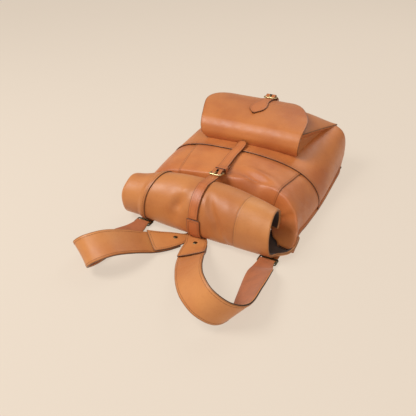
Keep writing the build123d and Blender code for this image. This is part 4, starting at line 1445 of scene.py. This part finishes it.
# ------------------------------------------------------------------ the front pocket
@dataclass
class FrontPocket:
    """The bellows pocket: its front, pleated sides, riser and flap."""

    mouth: tuple[float, float] = (34.0, 126.0)
    foot: tuple[float, float] = (188.0, 99.0)
    half_mouth: float = 97.5
    half_foot: float = 131.0
    bulge: float = 27.0
    flap_line: tuple[tuple[float, float], ...] = (
        (23.0, 85.5), (15.4, 94.6), (12.4, 105.0), (14.0, 114.0), (17.6, 122.0), (24.0, 129.0), (32.0, 133.9),
        (52.0, 139.8), (80.0, 144.7), (100.0, 146.4), (118.0, 146.6), (133.0, 145.5), (146.0, 143.3),
        (155.0, 140.9), (163.0, 137.9))
    outline: tuple[tuple[float, ...], ...] = (
        (0.0, -84.0, 98.0), (6.0, -94.0, 100.5), (14.0, -101.0, 101.5), (30.0, -107.0, 102.5),
        (45.0, -110.0, 103.0),
        (62.0, -115.0, 103.0), (80.0, -122.0, 102.0), (97.0, -128.5, 98.5), (112.0, -133.0, 92.0),
        (128.0, -134.5, 83.0), (142.0, -131.5, 74.0), (156.0, -124.0, 63.0), (166.0, -115.5, 53.0),
        (175.0, -104.5, 42.0), (181.0, -93.0, 32.0), (185.0, -82.0, 22.0))

    def build(self) -> None:
        """Make the whole pocket."""
        self.make_front()
        self.make_sides()
        self.make_flap()

    def front_point(self, side: Array, t: Array) -> Array:
        """The outer face of the pocket's front."""
        (y1, z1), (y2, z2) = self.mouth, self.foot
        crown = self.bulge * (1 - np.abs(side) ** 3.2) * np.maximum(np.sin(math.pi * t**1.5), 0) ** 0.55
        x = side * (self.half_mouth + (self.half_foot - self.half_mouth) * t)
        z = z1 + (z2 - z1) * t + crown + HIDE / 2
        return np.stack([x, y1 + (y2 - y1) * t, z], axis=-1)

    def make_front(self) -> None:
        """Make the pocket's front panel."""
        t = 1 - (1 - np.linspace(0, 1, 50)) ** 1.35
        side, t = np.meshgrid(np.linspace(-1, 1, 64), t)
        grid = self.front_point(side, t)
        fade = 1 - np.abs(side) ** 4
        grid[..., 2] += ripple(grid, 60.0, 1.0) * fade * np.sin(math.pi * t)
        front = Sheet("pocket_front_leather", grid, HIDE, Placing(BAG, "pocket_leather", ("pocket_front",)),
                      Finish.POCKET, painted=frozenset({Side.FIRST_ROW, Side.FIRST_COLUMN, Side.LAST_COLUMN}),
                      away_from=INSIDE_BAG)
        front.build()

    def make_sides(self) -> None:
        """Make the two pleated sides."""
        top = self.mouth[1] - HIDE / 2 - 0.2
        low = self.foot[1] - HIDE / 2 + 0.2
        near = smooth_rows([(self.half_mouth + 0.5, top), (self.half_mouth - 6, 117.0),
                            (self.half_mouth - 15, 108.0),
                            (self.half_mouth - 9, 96.0), (self.half_mouth, 84.0)], 26)
        far = smooth_rows([(self.half_foot + 0.5, low), (self.half_foot - 1.2, low - 2),
                           (self.half_foot - 3, low - 4),
                           (self.half_foot - 1.5, low - 9), (self.half_foot, 80.0)], 26)
        v = np.linspace(0, 1, 40)[:, None]
        x, z = (near[None, :, k] * (1 - v) + far[None, :, k] * v for k in (0, 1))
        y = self.mouth[0] + 4 + v * (self.foot[0] - 7 - self.mouth[0]) + 0 * x
        for name, sign in (("left", -1), ("right", 1)):
            grid = np.stack([sign * x, y, z], axis=-1)
            Sheet(f"pocket_gusset_{name}_leather", grid, 1.8,
                  Placing(BAG, "pocket_leather", (f"pocket_gusset_{name}",)), Finish.POCKET, Finish.SUEDE,
                  away_from=(0.0, 110.0, 105.0)).build()

    def make_flap(self) -> None:
        """Make the riser and the flap as one hide that bends at the pocket's mouth."""
        line = smooth_line(self.flap_line, 400)
        v = np.concatenate([np.linspace(0, 0.35, 34)[:-1],
                            0.35 + 0.65 * (1 - (1 - np.linspace(0, 1, 64)) ** 1.7)])
        places = np.linspace(0, 1, 400)
        y, z = (np.interp(v, places, line[:, k]) for k in (0, 1))
        length = float(np.sum(np.linalg.norm(np.diff(line, axis=0), axis=1)))
        left, right = (table_at(self.outline, v * self.outline[-1][0])[:, k] for k in (0, 1))
        log.info("flap hide is %.0f mm long", length)
        u = np.linspace(0, 1, 80)
        x = left[:, None] * (1 - u) + right[:, None] * u
        grid = np.stack(np.broadcast_arrays(x, y[:, None], z[:, None]), axis=-1).copy()
        grid[..., 2] += ripple(grid, 70.0, 0.9) * soft_step(v, 0.1, 0.4)[:, None]
        placing = Placing(BAG, "pocket_leather", ("pocket_flap", "pocket_flap_riser"),
                          ("flap", (0.0, 13.5, 110.0), (0.0, 19.5, 127.0)))
        flap = Sheet("pocket_flap_leather", grid, NARROW_HIDE, placing, Finish.POCKET,
                     painted=frozenset({Side.LAST_ROW, Side.FIRST_COLUMN, Side.LAST_COLUMN}),
                     away_from=(0.0, 110.0, 100.0), edge_round=0.45)
        flap.build()


@dataclass
class PocketFastening:
    """The shield-shaped strap sewn on the flap, and its buckle."""

    site: BuckleSite = POCKET
    lift: float = 2.6
    shield: tuple[tuple[float, float], ...] = (
        (60.0, 0.6), (62.0, 2.6), (66.0, 7.0), (72.0, 12.0), (79.0, 15.6), (88.0, 16.8),
        (98.0, 15.4), (107.0, 12.8),
        (118.0, 10.4), (128.0, 10.0), (400.0, 10.0))

    def build(self) -> None:
        """Make the whole fastening."""
        site = self.site
        site.build()
        on_flap = [(60.0, 140.6), (66.0, 141.8), (76.0, 143.2), (88.0, 144.5), (102.0, 145.6), (118.0, 145.8),
                   (128.0, 145.3), (136.0, 144.9)]
        points = [(y, z + self.lift) for y, z in on_flap] + site.threaded(36.0)
        line = smooth_line(points, 150)
        width = 2 * np.interp(line[:, 0], *np.array(self.shield).T)
        end = np.linalg.norm(line - line[-1], axis=1)
        half = site.width / 2
        near_end = end < half
        width = np.where(near_end, 2 * np.sqrt(np.maximum(half**2 - (half - end) ** 2, 4.0)), width)
        strap = strap_sheet("pocket_strap_leather", line, width, site.x,
                            Placing("flap", "fastening_leather", ("pocket_strap",)),
                            (site.y - site.reach + 1.5, site.y + 3.4), ALL_SIDES)
        strap.build()


# ------------------------------------------------------------------ shoulder straps
@dataclass(frozen=True)
class StrapSet:
    """One shoulder strap, its tab and its adjuster."""

    name: str
    stations: tuple[tuple[Point, Point, float], ...]
    tab_root: tuple[tuple[Point, Point, float], ...]
    rivet: tuple[float, float]
    slide_x: float
    tab_x: float
    thickness: float = 3.4
    tab_thickness: float = 2.2
    tab_clearance: float = 1.2
    rivet_top: float = 10.5
    tab_slant: float = 0.0
    slide_y: float = -207.0
    lower_tab_y: tuple[float, float] = (150.0, 186.0)

    def build(self) -> None:
        """Make the strap, its tab, rivet and adjuster."""
        self.make_strap()
        self.make_tab()
        self.make_rivet()
        self.make_adjuster()

    def upward(self, stations: Sequence[tuple[Point, Point, float]]) -> float:
        """1 or -1: which way strap_grid's outward side faces at the start of the strap."""
        (c0, a0, _), (c1, _, _) = stations[0], stations[1]
        up = np.cross(np.subtract(c1, c0), a0)
        return math.copysign(1.0, up[2])

    def make_strap(self) -> None:
        """Make the doubled strap with a crease line along its edges."""
        grid = strap_grid(self.stations, 130, 11, 0.3)
        sign = self.upward(self.stations)
        normals = grid_normals(grid)
        grid = grid + normals * sign * self.facing(grid, normals) * self.thickness / 2
        strap = Sheet(f"shoulder_strap_{self.name}_leather", grid, self.thickness,
                      Placing(BAG, "strap_leather",
                              (f"shoulder_strap_{self.name}",)), Finish.STRAP, Finish.STRAP_BACK,
                      painted=ALL_SIDES, flip=sign * self.facing(grid, normals) < 0, edge_round=0.3)
        strap.build()
        strap.stitch((Side.FIRST_COLUMN, Side.LAST_COLUMN), 3.4, 4.0, 60.0)

    @staticmethod
    def facing(grid: Array, normals: Array) -> float:
        """Whether the grid's own normals agree with along x across, as 1 or -1."""
        along = grid[1, 5] - grid[0, 5]
        across = grid[0, 6] - grid[0, 5]
        return math.copysign(1.0, float(np.dot(np.cross(along, across), normals[0, 5])))

    def make_tab(self) -> None:
        """Make the riveted tab over the start of the strap."""
        lift = (self.thickness + self.tab_thickness) / 2 + self.tab_clearance
        stations = self.tab_root + self.stations[:3]
        sign = self.upward(stations)
        rows = strap_grid(stations, 60, 13, 0.3)
        normals = grid_normals(rows) * sign * self.facing(rows, grid_normals(rows))
        grid = rows + normals * (lift + self.tab_thickness / 2)
        reach = 1.0 - self.tab_slant * np.linspace(1, 0, grid.shape[1])
        place = np.linspace(0, 1, len(grid))
        for column, share in enumerate(reach):
            line = grid[:, column].copy()
            grid[:, column] = np.stack([np.interp(place * share, place, line[:, k]) for k in range(3)],
                                       axis=1)
        tab = Sheet(f"strap_tab_{self.name}_leather", grid, self.tab_thickness,
                    Placing(BAG, "strap_leather",
                            (f"strap_tab_{self.name}",)), Finish.STRAP, Finish.STRAP_BACK,
                    painted=ALL_SIDES, flip=sign * self.facing(rows, grid_normals(rows)) < 0, edge_round=0.35)
        tab.build()
        tab.stitch((Side.FIRST_COLUMN, Side.LAST_COLUMN, Side.LAST_ROW), 2.8, 3.6, 6.0)

    def make_rivet(self) -> None:
        """Make the domed rivet."""
        x, y = self.rivet
        top = self.rivet_top
        profile = [(0, 2.3), (1.5, 2.3), (1.5, top - 2.2), (3.9, top - 2.2), (4.0, top - 1.6),
                   (3.7, top - 0.8),
                   (2.6, top - 0.25), (0, top)]
        vertices, faces = turned_part(profile, lambda p: p + np.array((x, y, 0.0)))
        add_piece(f"strap_rivet_{self.name}", vertices, faces, [0] * len(faces), (Finish.BLACKED,),
                  Placing(BAG, "dark_rivet_metal", ("strap_rivets",)))

    def make_adjuster(self) -> None:
        """Make the narrow strap under the bag, its slide and the tab it ends in."""
        start, end = self.slide_y + 4, self.lower_tab_y[0]
        y = np.linspace(start, end, 60)
        middle = np.interp(y, (start, end), (self.slide_x, self.tab_x))
        u = np.linspace(-1, 1, 9)
        grid = np.stack(np.broadcast_arrays(middle[:, None] + u * 12.5, y[:, None], 2.2), axis=-1)
        Sheet(f"adjusting_strap_{self.name}_leather", grid, 2.15,
              Placing(BAG, "strap_leather",
                      (f"adjusting_strap_{self.name}",)), Finish.STRAP, Finish.STRAP_BACK,
              painted=frozenset({Side.FIRST_COLUMN, Side.LAST_COLUMN, Side.FIRST_ROW}),
              away_from=(middle[0], 0.0, -50.0)).build()
        y = np.linspace(end + 0.1, self.lower_tab_y[1], 14)
        half = np.interp(y, self.lower_tab_y, (15.0, 19.0))
        grid = np.stack(np.broadcast_arrays(self.tab_x + u * half[:, None], y[:, None], 2.2), axis=-1)
        Sheet(f"lower_strap_tab_{self.name}_leather", grid, 2.15,
              Placing(BAG, "strap_leather",
                      (f"lower_strap_tab_{self.name}",)), Finish.STRAP, Finish.STRAP_BACK,
              painted=ALL_SIDES, away_from=(self.tab_x, 0.0, -50.0)).build()
        self.make_slide()

    def make_slide(self) -> None:
        """Make the three-bar slide from a rounded ring and a middle bar."""
        x, y, z = self.slide_x, self.slide_y + 3.5, 3.75
        ring = []
        for sx, sy, start in ((1, -1, -90), (1, 1, 0), (-1, 1, 90), (-1, -1, 180)):
            turn = np.radians(np.linspace(start, start + 90, 6))
            ring.append(np.stack([x + sx * 13.4 + 2.3 * np.cos(turn), y + sy * 5.2 + 2.3 * np.sin(turn),
                                  np.full(6, z)], axis=1))
        tube(f"adjuster_slide_{self.name}_ring", np.concatenate(ring), 1.35, Finish.BLACKED,
             Placing(BAG, "antique_brass", (f"adjuster_slide_{self.name}",)), closed=True, flat=0.9)
        bar = np.stack([np.linspace(x - 15.2, x + 15.2, 8), np.full(8, y), np.full(8, z)], axis=1)
        tube(f"adjuster_slide_{self.name}_bar", bar, 1.25, Finish.BLACKED, Placing(BAG, "antique_brass"))


RIGHT_SET = StrapSet(
    "right",
    (
        ((11.5, -222.0, 3.6), (0.95, 0.30, 0.06), 38.0),
        ((19.0, -246.0, 6.5), (0.88, 0.46, 0.16), 44.0),
        ((27.0, -267.0, 13.0), (0.79, 0.54, 0.29), 48.0),
        ((46.0, -304.0, 34.0), (0.71, 0.58, 0.42), 48.0),
        ((68.0, -343.0, 49.0), (0.58, 0.54, 0.60), 48.0),
        ((88.0, -368.0, 53.0), (0.48, 0.46, 0.75), 48.0),
        ((113.0, -382.0, 47.0), (0.42, 0.31, 0.85), 48.0),
        ((138.0, -376.0, 33.0), (0.48, 0.17, 0.85), 48.0),
        ((151.0, -350.0, 22.0), (0.62, 0.10, 0.77), 48.0),
        ((147.0, -304.0, 19.0), (0.75, 0.12, 0.62), 48.0),
        ((140.0, -252.0, 13.5), (0.90, 0.08, 0.40), 44.0),
        ((137.0, -229.0, 6.5), (0.98, 0.02, 0.15), 33.0),
        ((136.0, -213.5, 5.6), (1.0, 0.0, 0.0), 26.0),
        ((136.0, -206.0, 7.2), (1.0, 0.0, 0.0), 25.0),
    ),
    (
        ((-6.0, -176.0, -1.0), (1.0, 0.05, 0.0), 34.0),
        ((0.0, -200.0, 0.6), (0.98, 0.20, 0.02), 34.0),
    ),
    (11.0, -223.5), 136.0, 130.0, tab_slant=0.12)
LEFT_SET = StrapSet(
    "left",
    (
        ((-24.0, -225.0, 3.8), (-0.70, 0.71, 0.05), 34.0),
        ((-40.0, -243.0, 6.5), (-0.78, 0.60, 0.18), 42.0),
        ((-58.0, -262.0, 12.0), (-0.81, 0.50, 0.28), 48.0),
        ((-69.0, -298.0, 33.0), (-0.78, 0.50, 0.36), 48.0),
        ((-83.0, -333.0, 48.0), (-0.74, 0.51, 0.43), 48.0),
        ((-103.0, -357.0, 45.0), (-0.69, 0.48, 0.55), 48.0),
        ((-122.0, -357.0, 28.0), (-0.74, 0.31, 0.60), 48.0),
        ((-127.0, -335.0, 13.5), (-0.90, 0.17, 0.39), 48.0),
        ((-123.0, -306.0, 8.5), (-0.97, 0.17, 0.17), 48.0),
        ((-115.0, -262.0, 6.0), (-0.99, 0.14, 0.07), 48.0),
        ((-110.0, -233.0, 5.0), (-1.0, 0.05, 0.0), 36.0),
        ((-109.0, -213.5, 5.6), (-1.0, 0.0, 0.0), 26.0),
        ((-109.0, -206.0, 7.2), (-1.0, 0.0, 0.0), 25.0),
    ),
    (
        ((-14.5, -176.0, -2.7), (-1.0, 0.05, 0.0), 12.0),
        ((-15.0, -203.0, -0.8), (-0.80, 0.60, 0.02), 14.0),
    ),
    (-28.0, -225.0), -109.0, -124.0, tab_slant=0.07)


# ------------------------------------------------------------------ studio
@dataclass
class Studio:
    """A plain pale floor, soft light and the camera."""

    azimuth: float = 28.0
    elevation: float = 32.0
    distance: float = 0.900
    target: Point = (-0.013, -0.132, 0.022)
    lens: float = 41.97
    backdrop: tuple[float, float, float] = (0.807, 0.692, 0.570)
    floor_shade: float = 0.22    # how much of the floor's tone is left to the lamps
    floor_glow: float = 0.77
    world_glow: float = 0.45

    def build(self) -> None:
        """Make the floor, the lights, the world and the camera."""
        self.make_floor()
        self.make_lights()
        self.make_camera()
        bpy.context.scene.view_settings.view_transform = "Standard"

    def make_floor(self) -> None:
        """Make the floor and a world of the same pale colour."""
        mesh = bpy.data.meshes.new("studio_floor")
        mesh.from_pydata([(-6, -6, 0), (6, -6, 0), (6, 6, 0), (-6, 6, 0)], [], [(0, 1, 2, 3)])
        material, _, shader = new_material("floor_paper")
        shader.inputs["Base Color"].default_value = (*(self.floor_shade * c for c in self.backdrop), 1)
        shader.inputs["Emission Color"].default_value = (*self.backdrop, 1)
        shader.inputs["Emission Strength"].default_value = self.floor_glow
        shader.inputs["Roughness"].default_value = 0.9
        shader.inputs["Specular IOR Level"].default_value = 0.1
        mesh.materials.append(material)
        floor = bpy.data.objects.new("studio_floor", mesh)
        bpy.context.scene.collection.objects.link(floor)
        world = bpy.data.worlds.new("studio_world")
        world.use_nodes = True
        background = world.node_tree.nodes["Background"]
        background.inputs["Color"].default_value = (*self.backdrop, 1)
        background.inputs["Strength"].default_value = self.world_glow
        bpy.context.scene.world = world

    def make_lights(self) -> None:
        """Hang soft lamps above and beside the bag."""
        for name, place, size, power in (
                ("key", (-0.9, -0.9, 1.6), 0.9, 30.0),
                ("fill", (0.9, -1.6, 1.0), 1.6, 9.0),
                ("back", (0.2, 1.5, 1.8), 1.2, 10.0)):
            lamp = bpy.data.lights.new(name, "AREA")
            lamp.size = size
            lamp.energy = power
            holder = bpy.data.objects.new(name, lamp)
            holder.location = place
            aim = Vector((0, -0.1, 0.05)) - Vector(place)
            holder.rotation_euler = aim.to_track_quat("-Z", "Y").to_euler()
            bpy.context.scene.collection.objects.link(holder)

    def make_camera(self) -> None:
        """Place the camera on its sphere round the target."""
        turn, rise = math.radians(self.azimuth), math.radians(self.elevation)
        target = Vector(self.target)
        back = Vector((math.sin(turn) * math.cos(rise), -math.cos(turn) * math.cos(rise), math.sin(rise)))
        data = bpy.data.cameras.new("studio_camera")
        data.lens = self.lens
        data.sensor_width = 36.0
        camera = bpy.data.objects.new("studio_camera", data)
        camera.location = target + back * self.distance
        camera.rotation_euler = (-back).to_track_quat("-Z", "Y").to_euler()
        bpy.context.scene.collection.objects.link(camera)
        bpy.context.scene.camera = camera


def main() -> None:
    """Build the bag's sub-assemblies in order."""
    logging.basicConfig(level=logging.INFO, format="%(name)s: %(message)s")
    GROUPS.update(tone=make_tone_group(), grain=make_grain_group(), margin=make_margin_group(),
                  patina=make_patina_group())
    for assembly in (BagBody(), RolledTop(), ClosureFastening(), FrontPocket(), PocketFastening(), RIGHT_SET,
                     LEFT_SET, Studio()):
        log.info("building %s", type(assembly).__name__)
        assembly.build()


if __name__ == "__main__":
    main()
